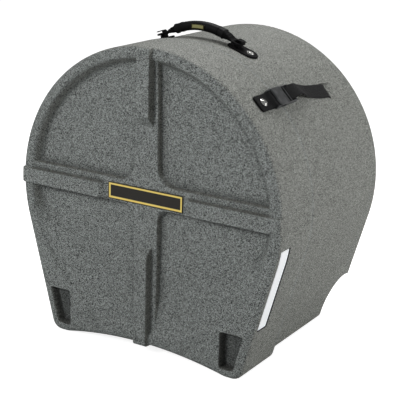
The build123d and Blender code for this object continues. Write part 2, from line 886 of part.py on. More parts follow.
def bridge():
    """Hook on the plate: a leg inside the ring, a roof over its bar and the saddle it rests on."""
    bar_outer = ring_end_place
    bar_inner = ring_end_place - ring_bar
    saddle = ring_rest_height - seat_gap
    ceiling = ring_rest_height + ring_thickness + bridge_travel
    inner = bar_inner - bridge_play
    outer = bar_outer + bridge_play / 2
    half = bridge_width / 2
    top = ceiling + bridge_roof
    body = block(inner - bridge_leg, outer + bridge_leg, -half, half, plate_thickness / 2, top)
    body = fillet(body.edges().filter_by(Axis.Y).group_by(Axis.Z)[-1], bridge_round)
    body -= block(inner, outer, -half - overrun, half + overrun, saddle, ceiling)
    middle = (bar_inner + bar_outer) / 2
    return body - block(middle, outer + overrun, -half - overrun, half + overrun, bridge_foot, ceiling)


def rivet_set(angle, y, radius, stack):
    """Rivet, cup washer and backing washer of one right-hand station, clamping a stack on a wall."""
    place = barrel_plane(angle, y, radius)
    tail = -wall - seat_gap - backing_thickness
    return (
        place * rivet(stack + cup_floor, tail),
        place * (Pos(0, 0, stack) * cup_washer()),
        place * (Pos(0, 0, -wall - seat_gap) * backing_washer()),
    )


def all_parts():
    """Every node of the case by its name."""
    parts = {
        "lid_shell": lid_shell(),
        "base_shell": base_shell(),
        "front_badge": front_badge(),
        "name_panel": name_panel(),
        "lid_foam_pad": lid_foam_pad(),
        "base_foam_pad": base_foam_pad(),
        "barrel_liner": barrel_liner(),
        "handle_grip": handle_grip(),
        "handle_core": handle_core(),
        "grip_badge": grip_badge(),
        "strap_stop_bars": both_sides(stop_bar()),
    }
    sided = {
        "anchor_tab": anchor_tab(),
        "buckle_body": buckle_body(),
        "buckle_clip": buckle_clip(),
        "strap": strap(),
        "handle_plate": handle_plate(),
    }
    for name, part in sided.items():
        parts[name + "_right"] = part
        parts[name + "_left"] = mirrored(part)
    tab_set = rivet_set(tab_angle, tab_rivet_y, lid_radius, seat_gap + tab_thickness)
    plate_set = rivet_set(plate_rivet_angle, handle_y, base_radius, seat_gap + plate_thickness)
    for kind, tab_piece, plate_piece in zip(("rivets", "cup_washers", "backing_washers"), tab_set, plate_set):
        parts["tab_" + kind] = both_sides(tab_piece)
        parts["handle_" + kind] = both_sides(plate_piece)
    return parts


os.makedirs("parts", exist_ok=True)
for node, shape in all_parts().items():
    export_step(shape, f"parts/{node}.step")
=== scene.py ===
"""Looks of the drum case: two moulded shells, straps with buckles, a carrying handle and foam inside.

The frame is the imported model: some of its nodes stay and get a finish, the others are replaced by finer
pieces. Lengths are written in millimetres and turned into metres when a mesh is made. X runs to the
right as seen from the face, Y from the face to the back, Z up.
"""
import logging
import math
from dataclasses import dataclass
from enum import Enum
from functools import cached_property
from typing import Callable, Sequence

import bmesh
import bpy
import numpy as np
from mathutils import Matrix, Vector


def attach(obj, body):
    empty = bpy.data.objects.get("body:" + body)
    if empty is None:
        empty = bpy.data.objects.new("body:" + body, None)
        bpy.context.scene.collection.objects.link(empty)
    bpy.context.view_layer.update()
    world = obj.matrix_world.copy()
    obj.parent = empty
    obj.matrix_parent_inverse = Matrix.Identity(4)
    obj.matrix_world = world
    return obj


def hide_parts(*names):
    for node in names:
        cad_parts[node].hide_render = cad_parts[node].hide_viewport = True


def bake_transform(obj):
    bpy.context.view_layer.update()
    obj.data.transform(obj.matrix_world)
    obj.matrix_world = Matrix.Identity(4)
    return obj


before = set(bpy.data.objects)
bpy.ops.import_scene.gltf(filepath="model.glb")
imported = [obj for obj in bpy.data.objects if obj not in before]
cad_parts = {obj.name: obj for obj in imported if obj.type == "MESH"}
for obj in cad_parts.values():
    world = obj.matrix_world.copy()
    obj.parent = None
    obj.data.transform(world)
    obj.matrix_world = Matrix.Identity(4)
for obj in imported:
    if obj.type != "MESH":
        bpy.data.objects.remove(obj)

Array = np.ndarray
Colour = tuple[float, float, float]
log = logging.getLogger("drum_case")

MM = 0.001
BARREL_CENTRE = 360.0
LID_RADIUS, BASE_RADIUS = 340.0, 335.0
FACE_CENTRE = 350.0
LEAN = math.radians(15.2)
GRIP_CENTRE, GRIP_RADIUS = 557.27, 163.23
SIDEWAYS, LENGTHWISE = np.array([1.0, 0.0, 0.0]), np.array([0.0, 1.0, 0.0])
MERGE_DISTANCE, FLAT_DISTANCE = 0.01 * MM, 0.005 * MM


# ---------------------------------------------------------------- small surface helpers

def smooth(t: Array) -> Array:
    """Smooth step: 0 below 0, 1 above 1, and 3t^2 - 2t^3 between."""
    t = np.clip(t, 0.0, 1.0)
    return t * t * (3.0 - 2.0 * t)


def soft_min(a: Array, b: Array, blend: float) -> Array:
    """Smaller of two fields with their crease rounded: min(a, b) - h^2 / (4 blend), h = blend - |a - b|."""
    gap = np.maximum(blend - np.abs(a - b), 0.0)
    return np.minimum(a, b) - gap * gap / (4.0 * blend)


def round_corner(a: Array, b: Array, radius: float) -> Array:
    """Signed distance to where two half planes meet, with the outer corner rounded to a radius."""
    inside = np.minimum(np.maximum(a + radius, b + radius), 0.0)
    return inside + np.hypot(np.maximum(a + radius, 0.0), np.maximum(b + radius, 0.0)) - radius


def turns(count: int) -> Array:
    """Angles of a number of even steps round a full turn."""
    return np.linspace(0.0, 2.0 * math.pi, count, endpoint=False)


def directions(turn: Array) -> Array:
    """Unit vector of each angle."""
    return np.stack([np.cos(turn), np.sin(turn)], -1)


def at_level(flat: Array, level: Array | float) -> Array:
    """Points of places in X and Z at levels in Y."""
    return np.stack(np.broadcast_arrays(flat[..., 0], level, flat[..., 1]), -1)


def distances(path: Array) -> Array:
    """Length of a path from its start up to each of its points."""
    return np.concatenate([[0.0], np.cumsum(np.linalg.norm(np.diff(path, axis=0), axis=1))])


def grid_faces(rows: int, columns: int, close_rows: bool = False, close_columns: bool = False) -> Array:
    """Quads of a grid of points numbered row by row.

    Args:
        rows: Number of rows of points.
        columns: Number of points in a row.
        close_rows: Joins the last row to the first.
        close_columns: Joins the last point of each row to its first.
    Returns:
        Array of four point numbers per face.
    """
    i = np.arange(rows if close_rows else rows - 1)[:, None]
    j = np.arange(columns if close_columns else columns - 1)[None, :]
    below, right = (i + 1) % rows, (j + 1) % columns
    quads = [i * columns + j, below * columns + j, below * columns + right, i * columns + right]
    return np.stack([q + 0 * (i + j) for q in quads], -1).reshape(-1, 4)


@dataclass
class Surface:
    """Points in millimetres with their faces.

    Where a pattern follows the piece there are two lengths per point, and a moulded face has a share of
    shade per point.
    """

    points: Array
    faces: Array
    lengths: Array | None = None
    shade: Array | None = None

    def moved(self, place: Callable[[Array], Array]) -> "Surface":
        """The same faces on points put through a function."""
        return Surface(place(self.points), self.faces, self.lengths)

    def mirrored(self) -> "Surface":
        """The twin on the other side of the case, facing outwards again."""
        return Surface(self.points * [-1.0, 1.0, 1.0], self.faces[:, ::-1], self.lengths)


def joined(surfaces: Sequence[Surface]) -> Surface:
    """Puts several surfaces into one.

    Args:
        surfaces: The surfaces, which keep their order.
    Returns:
        One surface, with lengths only where all of them have lengths.
    """
    starts = np.cumsum([0] + [len(s.points) for s in surfaces[:-1]])
    faces = np.concatenate([s.faces + start for s, start in zip(surfaces, starts)])
    lengths = None
    if all(s.lengths is not None for s in surfaces):
        lengths = np.concatenate([s.lengths for s in surfaces])
    return Surface(np.concatenate([s.points for s in surfaces]), faces, lengths)


def smooth_path(corners: Sequence[Sequence[float]]) -> Array:
    """Rounds an open line by cutting its corners at their quarters, three times over.

    Args:
        corners: The line's points; the first and the last one stay.
    Returns:
        The finer points.
    """
    line = np.array(corners, float)
    for _ in range(3):
        inner = np.stack([0.75 * line[:-1] + 0.25 * line[1:], 0.25 * line[:-1] + 0.75 * line[1:]], 1)
        line = np.concatenate([line[:1], inner.reshape(-1, line.shape[1])[1:-1], line[-1:]])
    return line


def rounded_section(power: float, count: int) -> Array:
    """Closed superellipse |x|^p + |y|^p = 1: a power of 2 is a circle and a large one nearly a box."""
    way = directions(turns(count))
    return np.sign(way) * np.abs(way) ** (2.0 / power)


def sized(section: Array, width: Array | float, height: Array | float) -> Array:
    """One copy of a section per path point, each with its own half width and half height."""
    return section[None] * np.stack(np.broadcast_arrays(width, height), -1)[:, None]


def carried(sections: Array, path: Array, across: Array) -> Surface:
    """Closed sections carried along a path, with both ends closed by a pole.

    Each ring is centre + section[0] * across + section[1] * up, where up is at right angles to the
    path's own direction and to across. The two lengths are the place round the section and along the path.

    Args:
        sections: One closed section per path point.
        path: Points of the centre line.
        across: One unit vector, or one per path point, for the sections' first axis.
    Returns:
        The surface.
    """
    ahead = np.gradient(path, axis=0)
    ahead /= np.linalg.norm(ahead, axis=1, keepdims=True)
    across = np.broadcast_to(across, path.shape)
    up = np.cross(across, ahead)
    up /= np.linalg.norm(up, axis=1, keepdims=True)
    rings = path[:, None] + sections[..., :1] * across[:, None] + sections[..., 1:] * up[:, None]
    step = np.linalg.norm(np.diff(rings, axis=1, append=rings[:, :1]), axis=2)
    lengths = np.stack([np.cumsum(step, axis=1) - step, distances(path)[:, None] + 0.0 * step], -1)
    poles = rings[[0, -1]].mean(1, keepdims=True) + 0.0 * rings[[0, -1]]
    rings = np.concatenate([poles[:1], rings, poles[1:]])
    lengths = np.concatenate([lengths[:1], lengths, lengths[-1:]])
    faces = grid_faces(*rings.shape[:2], close_columns=True)
    return Surface(rings.reshape(-1, 3), faces, lengths.reshape(-1, 2))


# ---------------------------------------------------------------- shader maths

class Maths:
    """A socket of a node tree, with arithmetic that adds Math nodes."""

    def __init__(self, owner: "NodeTree", socket: bpy.types.NodeSocket) -> None:
        """Keeps the tree that the socket belongs to."""
        self.owner, self.socket = owner, socket

    def _apply(self, operation: str, *values: "Maths | float") -> "Maths":
        """One Math node on one or two values."""
        return self.owner.node("ShaderNodeMath", {"operation": operation}, dict(enumerate(values)))

    def __add__(self, other: "Maths | float") -> "Maths":
        """Sum."""
        return self._apply("ADD", self, other)

    def __sub__(self, other: "Maths | float") -> "Maths":
        """Difference."""
        return self._apply("SUBTRACT", self, other)

    def __rsub__(self, other: float) -> "Maths":
        """Difference from a number."""
        return self._apply("SUBTRACT", other, self)

    def __mul__(self, other: "Maths | float") -> "Maths":
        """Product."""
        return self._apply("MULTIPLY", self, other)

    def __pow__(self, other: float) -> "Maths":
        """Power."""
        return self._apply("POWER", self, other)

    def __gt__(self, other: "Maths | float") -> "Maths":
        """One where this is larger."""
        return self._apply("GREATER_THAN", self, other)

    __radd__, __rmul__ = __add__, __mul__

    def absolute(self) -> "Maths":
        """Value without its sign."""
        return self._apply("ABSOLUTE", self)

    def smaller(self, other: "Maths | float") -> "Maths":
        """Smaller of two values."""
        return self._apply("MINIMUM", self, other)

    def larger(self, other: "Maths | float") -> "Maths":
        """Larger of two values."""
        return self._apply("MAXIMUM", self, other)

    def wave(self, length: float) -> "Maths":
        """Sine of the value over a wave length, from 0 to 1."""
        return self._apply("SINE", self * (2.0 * math.pi / length)) * 0.5 + 0.5

    def step(self, low: float, high: float) -> "Maths":
        """Smooth step from 0 at the low value to 1 at the high one."""
        settings = {"interpolation_type": "SMOOTHSTEP"}
        return self.owner.node("ShaderNodeMapRange", settings, {"Value": self, "From Min": low, "From Max": high})


class NodeTree:
    """A tree of shader nodes, with one method that adds any node."""

    def __init__(self, tree: bpy.types.NodeTree) -> None:
        """Keeps Blender's own tree."""
        self.tree = tree

    def set_inputs(self, node: bpy.types.Node, values: dict) -> None:
        """Joins results to a node's inputs and gives the others plain values.

        Args:
            node: The node.
            values: Numbers, colours or other nodes' results, by the input's name or number.
        """
        for key, value in values.items():
            if isinstance(value, Maths):
                self.tree.links.new(value.socket, node.inputs[key])
            else:
                node.inputs[key].default_value = value

    def node(self, kind: str, settings: dict, values: dict, output: str | int = 0) -> Maths:
        """Adds a node.

        Args:
            kind: The node's type.
            settings: Attributes of the node, which are set first.
            values: Numbers, colours or other nodes' results for its inputs, by name or number.
            output: The output that is handed back.
        Returns:
            The output, ready for arithmetic.
        """
        node = self.tree.nodes.new(kind)
        for key, value in settings.items():
            setattr(node, key, value)
        self.set_inputs(node, values)
        return Maths(self, node.outputs[output])


class Coordinates(Enum):
    """Where a pattern takes its place from."""

    OBJECT = "Object"
    UV = "UV"


def linear(red: int, green: int, blue: int) -> Colour:
    """Linear colour of a display colour in 0 to 255."""
    return tuple((v / 255.0 / 12.92) if v <= 10 else ((v / 255.0 + 0.055) / 1.055) ** 2.4
                 for v in (red, green, blue))


def grey(level: float) -> Colour:
    """Linear grey."""
    return (level, level, level)


class Finish(NodeTree):
    """One procedural material: subclasses fill in the paint method. Sizes of patterns are in metres."""

    name = "finish"
    metallic = 0.0
    coordinates = Coordinates.OBJECT

    def __init__(self) -> None:
        """Makes the material with its principled shader and paints it."""
        self.material = bpy.data.materials.new(self.name)
        self.material.use_nodes = True
        super().__init__(self.material.node_tree)
        self.shader = self.tree.nodes["Principled BSDF"]
        self.feed(Metallic=self.metallic)
        self.paint()

    def paint(self) -> None:
        """Adds the finish's own nodes."""
        raise NotImplementedError(self.name)

    @cached_property
    def place(self) -> Maths:
        """The coordinates that the finish's patterns read."""
        return self.node("ShaderNodeTexCoord", {}, {}, self.coordinates.value)

    def noise(self, size: float, detail: float = 2.0, roughness: float = 0.5) -> Maths:
        """Noise whose lumps are about as large as the size."""
        values = {"Vector": self.place, "Scale": 1.0 / size, "Detail": detail, "Roughness": roughness}
        return self.node("ShaderNodeTexNoise", {}, values)

    def grains(self, size: float) -> Maths:
        """Random value from 0 to 1 per grain of a size."""
        colour = self.node("ShaderNodeTexVoronoi", {}, {"Vector": self.place, "Scale": 1.0 / size}, "Color")
        return self.node("ShaderNodeSeparateColor", {}, {"Color": colour})

    def axis(self, letter: str, vector: Maths | None = None) -> Maths:
        """One coordinate of a vector, or of the place where none is given."""
        return self.node("ShaderNodeSeparateXYZ", {}, {"Vector": vector or self.place}, letter)

    def mix(self, factor: Maths | float, low: Colour | Maths, high: Colour | Maths, kind: str = "MIX") -> Maths:
        """Colour between two colours, or the two put together in another kind of mix."""
        low, high = (c if isinstance(c, Maths) else (*c, 1.0) for c in (low, high))
        return self.node("ShaderNodeMix", {"data_type": "RGBA", "blend_type": kind}, {0: factor, 6: low, 7: high}, 2)

    def feed(self, **inputs: Maths | float) -> None:
        """Joins or sets inputs of the shader; an underscore stands for a space."""
        self.set_inputs(self.shader, {key.replace("_", " "): value for key, value in inputs.items()})

    def bump(self, height: Maths, depth: float, strength: float = 1.0) -> None:
        """Raises the surface by a height from 0 to 1, as deep as given."""
        self.feed(Normal=self.node("ShaderNodeBump", {}, {"Height": height, "Distance": depth, "Strength": strength}))


class GraniteShell(Finish):
    """Rotationally moulded polyethylene with granite speckle and a pebbled skin."""

    name = "granite_shell"
    fine_grain, coarse_grain, cloud_size, skin_size = 0.0007, 0.0012, 0.09, 0.0012
    round_dark, round_light = linear(46, 49, 45), linear(174, 176, 169)
    face_dark, face_light = linear(10, 14, 13), linear(176, 182, 179)
    # Colour factor where the painted shade is full.
    full_shade_tone = 0.2

    def paint(self) -> None:
        """Fine dark and light grains, stronger on the faces than round the barrel; painted shade from the shade
        attribute darkens the pockets and the wall feet; the skin is pebbled.
        """
        fine, coarse = self.grains(self.fine_grain), self.grains(self.coarse_grain)
        cloud = self.noise(self.cloud_size, 3.0)
        normal = self.node("ShaderNodeTexCoord", {}, {}, "Normal")
        facing = self.axis("Y", normal).absolute().step(0.3, 0.8)
        dark = self.mix(facing, self.round_dark, self.face_dark)
        light = self.mix(facing, self.round_light, self.face_light)
        colour = self.mix((fine * 0.45 + coarse * 0.55).step(0.38, 0.62), dark, light)
        # Painted shade: the mesh's shade attribute darkens the colour in the pockets and at the wall feet.
        deep = self.node("ShaderNodeAttribute", {"attribute_name": "shade"}, {}, "Fac")
        shade = self.mix(deep, self.mix(cloud, grey(0.92), grey(1.0)), grey(self.full_shade_tone))
        self.feed(Base_Color=self.mix(1.0, colour, shade, "MULTIPLY"), Roughness=self.noise(0.004) * 0.2 + 0.52)
        self.bump(self.noise(self.skin_size, 3.0, 0.6) * 0.7 + coarse * 0.3, 0.0008, 0.8)


class Webbing(Finish):
    """Woven black polypropylene tape: ribs along it crossed by picks, on the piece's own lengths."""

    name = "black_webbing"
    coordinates = Coordinates.UV
    low, high = linear(8, 8, 9), linear(40, 40, 40)
    rib_width, pick_height = 0.0016, 0.0012

    def paint(self) -> None:
        """Chevrons of fine ribs: the pick height runs with the place across and along the tape."""
        across, along = self.axis("X"), self.axis("Y")
        weave = across.wave(self.rib_width) * 0.6 + (along + across * 0.5).wave(self.pick_height) * 0.4
        self.feed(Base_Color=self.mix(weave, self.low, self.high), Roughness=weave * -0.15 + 0.85,
                  Sheen_Weight=0.04, Specular_IOR_Level=0.12)
        self.bump(weave, 0.0004)


class TabWebbing(Webbing):
    """Denser and blacker webbing of the anchor tabs."""

    name = "tab_webbing"
    low, high = linear(3, 3, 3), linear(15, 15, 16)


class BlackRubber(Finish):
    """Soft moulded rubber of the grip."""

    name = "black_rubber"
    low, high = linear(9, 9, 10), linear(20, 20, 21)

    def paint(self) -> None:
        """Nearly black with a fine leathery grain and rubbed patches."""
        grain, rub = self.noise(0.0009), self.noise(0.018, 3.0)
        self.feed(Base_Color=self.mix(rub.step(0.35, 0.7), self.low, self.high), Roughness=rub * 0.2 + 0.46,
                  Specular_IOR_Level=0.13)
        self.bump(grain, 0.00025, 0.6)


class BlackPlastic(Finish):
    """Moulded black acetal of the buckles; its grey colour is painted sheen."""

    name = "black_plastic"
    # Grey colours that paint the sheen of black acetal into its colour.
    low, high = linear(52, 53, 54), linear(80, 81, 82)
    shine, dullness = 0.4, 0.34

    def paint(self) -> None:
        """Fine texture of a spark-eroded mould, a little brighter in random patches."""
        grain, bright_patches = self.noise(0.0007), self.noise(0.012)
        self.feed(Base_Color=self.mix(bright_patches.step(0.3, 0.75), self.low, self.high),
                  Roughness=grain * 0.12 + self.dullness, Specular_IOR_Level=self.shine)
        self.bump(grain, 0.00012, 0.5)


class HandlePlastic(BlackPlastic):
    """Blacker nylon of the handle's core and plates."""

    name = "handle_plastic"
    low, high = linear(6, 6, 7), linear(15, 15, 16)
    shine, dullness = 0.08, 0.62


class BrightSteel(Finish):
    """Nickel-plated steel of rivets, cup washers and bars."""

    name = "bright_nickel"
    metallic = 1.0
    low, high = linear(190, 190, 188), linear(232, 232, 228)

    def paint(self) -> None:
        """Light metal with faint turning marks."""
        mark = self.noise(0.0016, 3.0)
        self.feed(Base_Color=self.mix(mark, self.low, self.high), Roughness=mark * 0.2 + 0.14)
        self.bump(mark, 0.00008, 0.5)


class BlackWasher(Finish):
    """Black oxide of the backing washers."""

    name = "black_washer"
    metallic = 0.6
    low, high = linear(28, 28, 29), linear(70, 70, 70)

    def paint(self) -> None:
        """Dark grey metal, rubbed in spots."""
        rub = self.noise(0.004, 3.0)
        self.feed(Base_Color=self.mix(rub.step(0.5, 0.8), self.low, self.high), Roughness=rub * 0.3 + 0.25)


class GoldPlate(Finish):
    """Brushed gold-coloured badge on the grip, dark round its edge."""

    name = "gold_plate"
    metallic = 0.5
    half_length, half_height = 14.2 * MM, 3.5 * MM
    low, high, border = linear(140, 136, 84), linear(188, 184, 132), linear(52, 48, 14)

    def paint(self) -> None:
        """Gold with brush lines along it; the rim lies past half the length or the height, up from the arc."""
        stretched = self.node("ShaderNodeMapping", {}, {"Vector": self.place, "Scale": (60.0, 900.0, 900.0)})
        lines = self.node("ShaderNodeTexNoise", {}, {"Vector": stretched, "Scale": 1.0, "Detail": 2.0})
        x, z = self.axis("X"), self.axis("Z") - GRIP_CENTRE * MM
        up = (x * x + z * z) ** 0.5 - GRIP_RADIUS * MM
        rim = (x.absolute() > self.half_length).larger(up.absolute() > self.half_height)
        gold = self.mix(lines, self.low, self.high)
        self.feed(Base_Color=self.mix(rim, gold, self.border), Roughness=lines * 0.25 + 0.25)
        self.bump(lines, 0.00005, 0.4)


class BadgeFace(Finish):
    """Black badge with a raised gold frame just inside its edge."""

    name = "hub_badge"
    half_length, half_height, middle = 98.35 * MM, 19.1 * MM, 370.5 * MM
    frame_start, frame_end = 1.9 * MM, 6.2 * MM

    def paint(self) -> None:
        """Gold where the distance to the edge lies between two limits, black elsewhere."""
        x, z = self.axis("X"), self.axis("Z") - self.middle
        edge = (self.half_length - x.absolute()).smaller(self.half_height - z.absolute())
        gold = (edge > self.frame_start) * (1.0 - (edge > self.frame_end))
        shade = self.noise(0.02)
        metal = self.mix(shade, linear(250, 216, 104), linear(255, 236, 140))
        field = self.mix(shade, linear(24, 21, 15), linear(38, 33, 25))
        self.feed(Base_Color=self.mix(gold, field, metal), Roughness=gold * -0.08 + 0.4)
        self.bump(gold * 0.8 + self.noise(0.001) * 0.1, 0.0004, 0.6)


class PanelFace(Finish):
    """White write-on panel with a thin dark line along its rear and lower edges."""

    name = "white_panel"
    rear_line, lower_line = -204.0 * MM, 126.2 * MM
    low, high, border = linear(240, 243, 246), linear(253, 254, 255), linear(12, 13, 13)

    def paint(self) -> None:
        """White, slightly marbled, dark past the two lines; a faint glow, painted light, lifts it to paper white."""
        line = (self.axis("Y") > self.rear_line).larger(1.0 - (self.axis("Z") > self.lower_line))
        cloud = self.noise(0.008, 3.0)
        colour = self.mix(line, self.mix(cloud, self.low, self.high), self.border)
        # The emission is painted light: the panel glows a little though it is no lamp.
        self.feed(Base_Color=colour, Emission_Color=colour, Roughness=cloud * 0.15 + 0.55,
                  Emission_Strength=0.19, Specular_IOR_Level=0.08)
        self.bump(cloud, 0.0002, 0.3)


class Foam(Finish):
    """Dark grey cross-linked foam."""

    name = "grey_foam"
    low, high = linear(86, 87, 90), linear(124, 125, 128)

    def paint(self) -> None:
        """Fine cells with a slow unevenness."""
        cells, cloud = self.grains(0.0014), self.noise(0.05, 3.0)
        both = cells * 0.5 + cloud * 0.5
        self.feed(Base_Color=self.mix(both, self.low, self.high), Roughness=cells * 0.1 + 0.85)
        self.bump(both, 0.0006, 0.6)


class WhiteFloor(Finish):
    """Matt floor that takes the case's shadow and shows white to the camera."""

    name = "floor_white"
    tone, glow = 0.62, 0.86

    def paint(self) -> None:
        """The principled shader plus a light that only the camera sees."""
        self.feed(Base_Color=(*grey(self.tone), 1.0), Roughness=0.9)
        seen = self.node("ShaderNodeLightPath", {}, {}, "Is Camera Ray")
        light = self.node("ShaderNodeEmission", {}, {"Strength": seen * self.glow})
        both = self.node("ShaderNodeAddShader", {}, {0: Maths(self, self.shader.outputs[0]), 1: light})
        self.set_inputs(self.tree.nodes["Material Output"], {"Surface": both})


# ---------------------------------------------------------------- putting pieces into the scene

def make_piece(name: str, surface: Surface, finish: Finish, body: str | None,
               stands_for: Sequence[str]) -> bpy.types.Object:
    """Turns a surface into an object of the scene.

    Args:
        name: The piece's name.
        surface: Its shape in millimetres.
        finish: Its material.
        body: The CAD body that it rides on, or None where it rides on none.
        stands_for: CAD nodes that it replaces.
    Returns:
        The object, smooth shaded and with its poles closed.
    """
    mesh = bpy.data.meshes.new(name)
    mesh.from_pydata((surface.points * MM).tolist(), [], surface.faces.tolist())
    if surface.lengths is not None:
        layer = mesh.uv_layers.new(name="lengths")
        corner = np.empty(len(mesh.loops), np.int32)
        mesh.loops.foreach_get("vertex_index", corner)
        layer.data.foreach_set("uv", (surface.lengths[corner] * MM).astype(np.float32).ravel())
    if surface.shade is not None:
        mesh.attributes.new("shade", "FLOAT", "POINT").data.foreach_set("value", surface.shade.astype(np.float32))
    piece = bpy.data.objects.new(name, mesh)
    bpy.context.scene.collection.objects.link(piece)
    close_poles(mesh)
    mesh.materials.append(finish.material)
    mesh.polygons.foreach_set("use_smooth", np.ones(len(mesh.polygons), bool))
    if body:
        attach(piece, body)
    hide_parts(*stands_for)
    log.info("%s: %d points, %d faces", name, len(mesh.vertices), len(mesh.polygons))
    return piece


def close_poles(mesh: bpy.types.Mesh) -> None:
    """Merges points that fell together and drops faces without area.

    Args:
        mesh: The mesh, which is changed in place.
    """
    work = bmesh.new()
    work.from_mesh(mesh)
    bmesh.ops.remove_doubles(work, verts=work.verts, dist=MERGE_DISTANCE)
    bmesh.ops.dissolve_degenerate(work, edges=work.edges, dist=FLAT_DISTANCE)
    work.to_mesh(mesh)
    work.free()


# ---------------------------------------------------------------- the case's section

@dataclass(frozen=True)
class Outline:
    """Section of a shell in X and Z: round top, leaning sides, two feet and an arch between them."""

    radius: float = LID_RADIUS
    floor: float = 0.0
    rise: float = 23.4
    corner: float = 28.0
    arch_half: float = 215.0
    blend: float = 60.0
    spacing: float = 0.6

    def points(self) -> tuple[Array, Array]:
        """Closed line from the top round by the right-hand side.

        The right half is an arc about the centre, the leaning line, the foot's round, its flat, the blend
        and half of the arch; the left half is its mirror image.

        Returns:
            The line's points and its outward normals.
        """
        join = np.array([self.radius * math.cos(LEAN), BARREL_CENTRE - self.radius * math.sin(LEAN)])
        foot_x = join[0] - (join[1] - self.floor) * math.tan(LEAN)
        setback = self.corner * math.tan((math.pi / 2 - LEAN) / 2)
        down = np.array([-math.sin(LEAN), -math.cos(LEAN)])
        arch_radius = (self.arch_half ** 2 + self.rise ** 2) / (2 * self.rise)
        arch_turn = math.asin(self.arch_half / arch_radius)
        cut = self.blend * math.tan(arch_turn / 2)
        arch_start = math.pi / 2 - arch_turn * (1 - cut / self.arch_half)
        corner = np.array([foot_x, self.floor])
        blend_end = np.array([self.arch_half + cut, self.floor])
        pieces = [
            self._arc(np.array([0.0, BARREL_CENTRE]), self.radius, math.pi / 2, -LEAN, 1.0),
            self._line(join, corner - down * setback),
            self._arc(corner + [-setback, self.corner], self.corner, -LEAN, -math.pi / 2, 1.0),
            self._line(corner - [setback, 0.0], blend_end),
            self._arc(blend_end + [0.0, self.blend], self.blend, -math.pi / 2, -math.pi / 2 - arch_turn, 1.0),
            self._arc(np.array([0.0, self.floor + self.rise - arch_radius]), arch_radius, arch_start,
                      math.pi / 2, -1.0),
        ]
        flip = np.array([-1.0, 1.0])
        halves = (np.concatenate([p[k][:-1] for p in pieces] + [pieces[-1][k][-1:]]) for k in (0, 1))
        line, normal = (np.concatenate([half, (half * flip)[-2:0:-1]]) for half in halves)
        return line, normal

    def _arc(self, middle: Array, radius: float, start: float, end: float, outward: float) -> tuple[Array, Array]:
        """Arc about a middle between two angles.

        Args:
            middle: Centre of the arc.
            radius: Its radius.
            start: Angle of its first point.
            end: Angle of its last point.
            outward: 1 where the normals point away from the middle, -1 where they point to it.
        Returns:
            Points and normals.
        """
        count = max(4, int(abs(end - start) * radius / self.spacing))
        way = directions(np.linspace(start, end, count))
        return middle + radius * way, outward * way

    def _line(self, start: Array, end: Array) -> tuple[Array, Array]:
        """Straight run, the section lying on its right.

        Args:
            start: Its first point.
            end: Its last point.
        Returns:
            Points and normals.
        """
        count = max(4, int(np.linalg.norm(end - start) / self.spacing))
        share = np.linspace(0.0, 1.0, count)[:, None]
        way = (end - start) / np.linalg.norm(end - start)
        return start + share * (end - start), np.broadcast_to([-way[1], way[0]], (count, 2))


def nearest(points: Array, line: Array) -> Array:
    """Number of the closest point of a line for each point, worked out in blocks."""
    blocks = np.array_split(points, max(1, len(points) // 2000))
    return np.concatenate([((b[:, None] - line[None]) ** 2).sum(-1).argmin(1) for b in blocks])


def graded(low: float, high: float, spacing: float, fine: Sequence[tuple[float, float, float]]) -> Array:
    """Lines across a range, evenly spaced and closer together inside fine bands.

    Args:
        low: Start of the range.
        high: Its end.
        spacing: Distance between lines outside the bands.
        fine: Start, end and spacing of each band.
    Returns:
        The lines' places.
    """
    lines = [np.arange(low, high, spacing)]
    for start, end, step in fine:
        lines[0] = lines[0][(lines[0] < start - spacing / 3) | (lines[0] > end + spacing / 3)]
        lines.append(np.linspace(start, end, int(round((end - start) / step)) + 1))
    return np.unique(np.concatenate(lines).round(3))


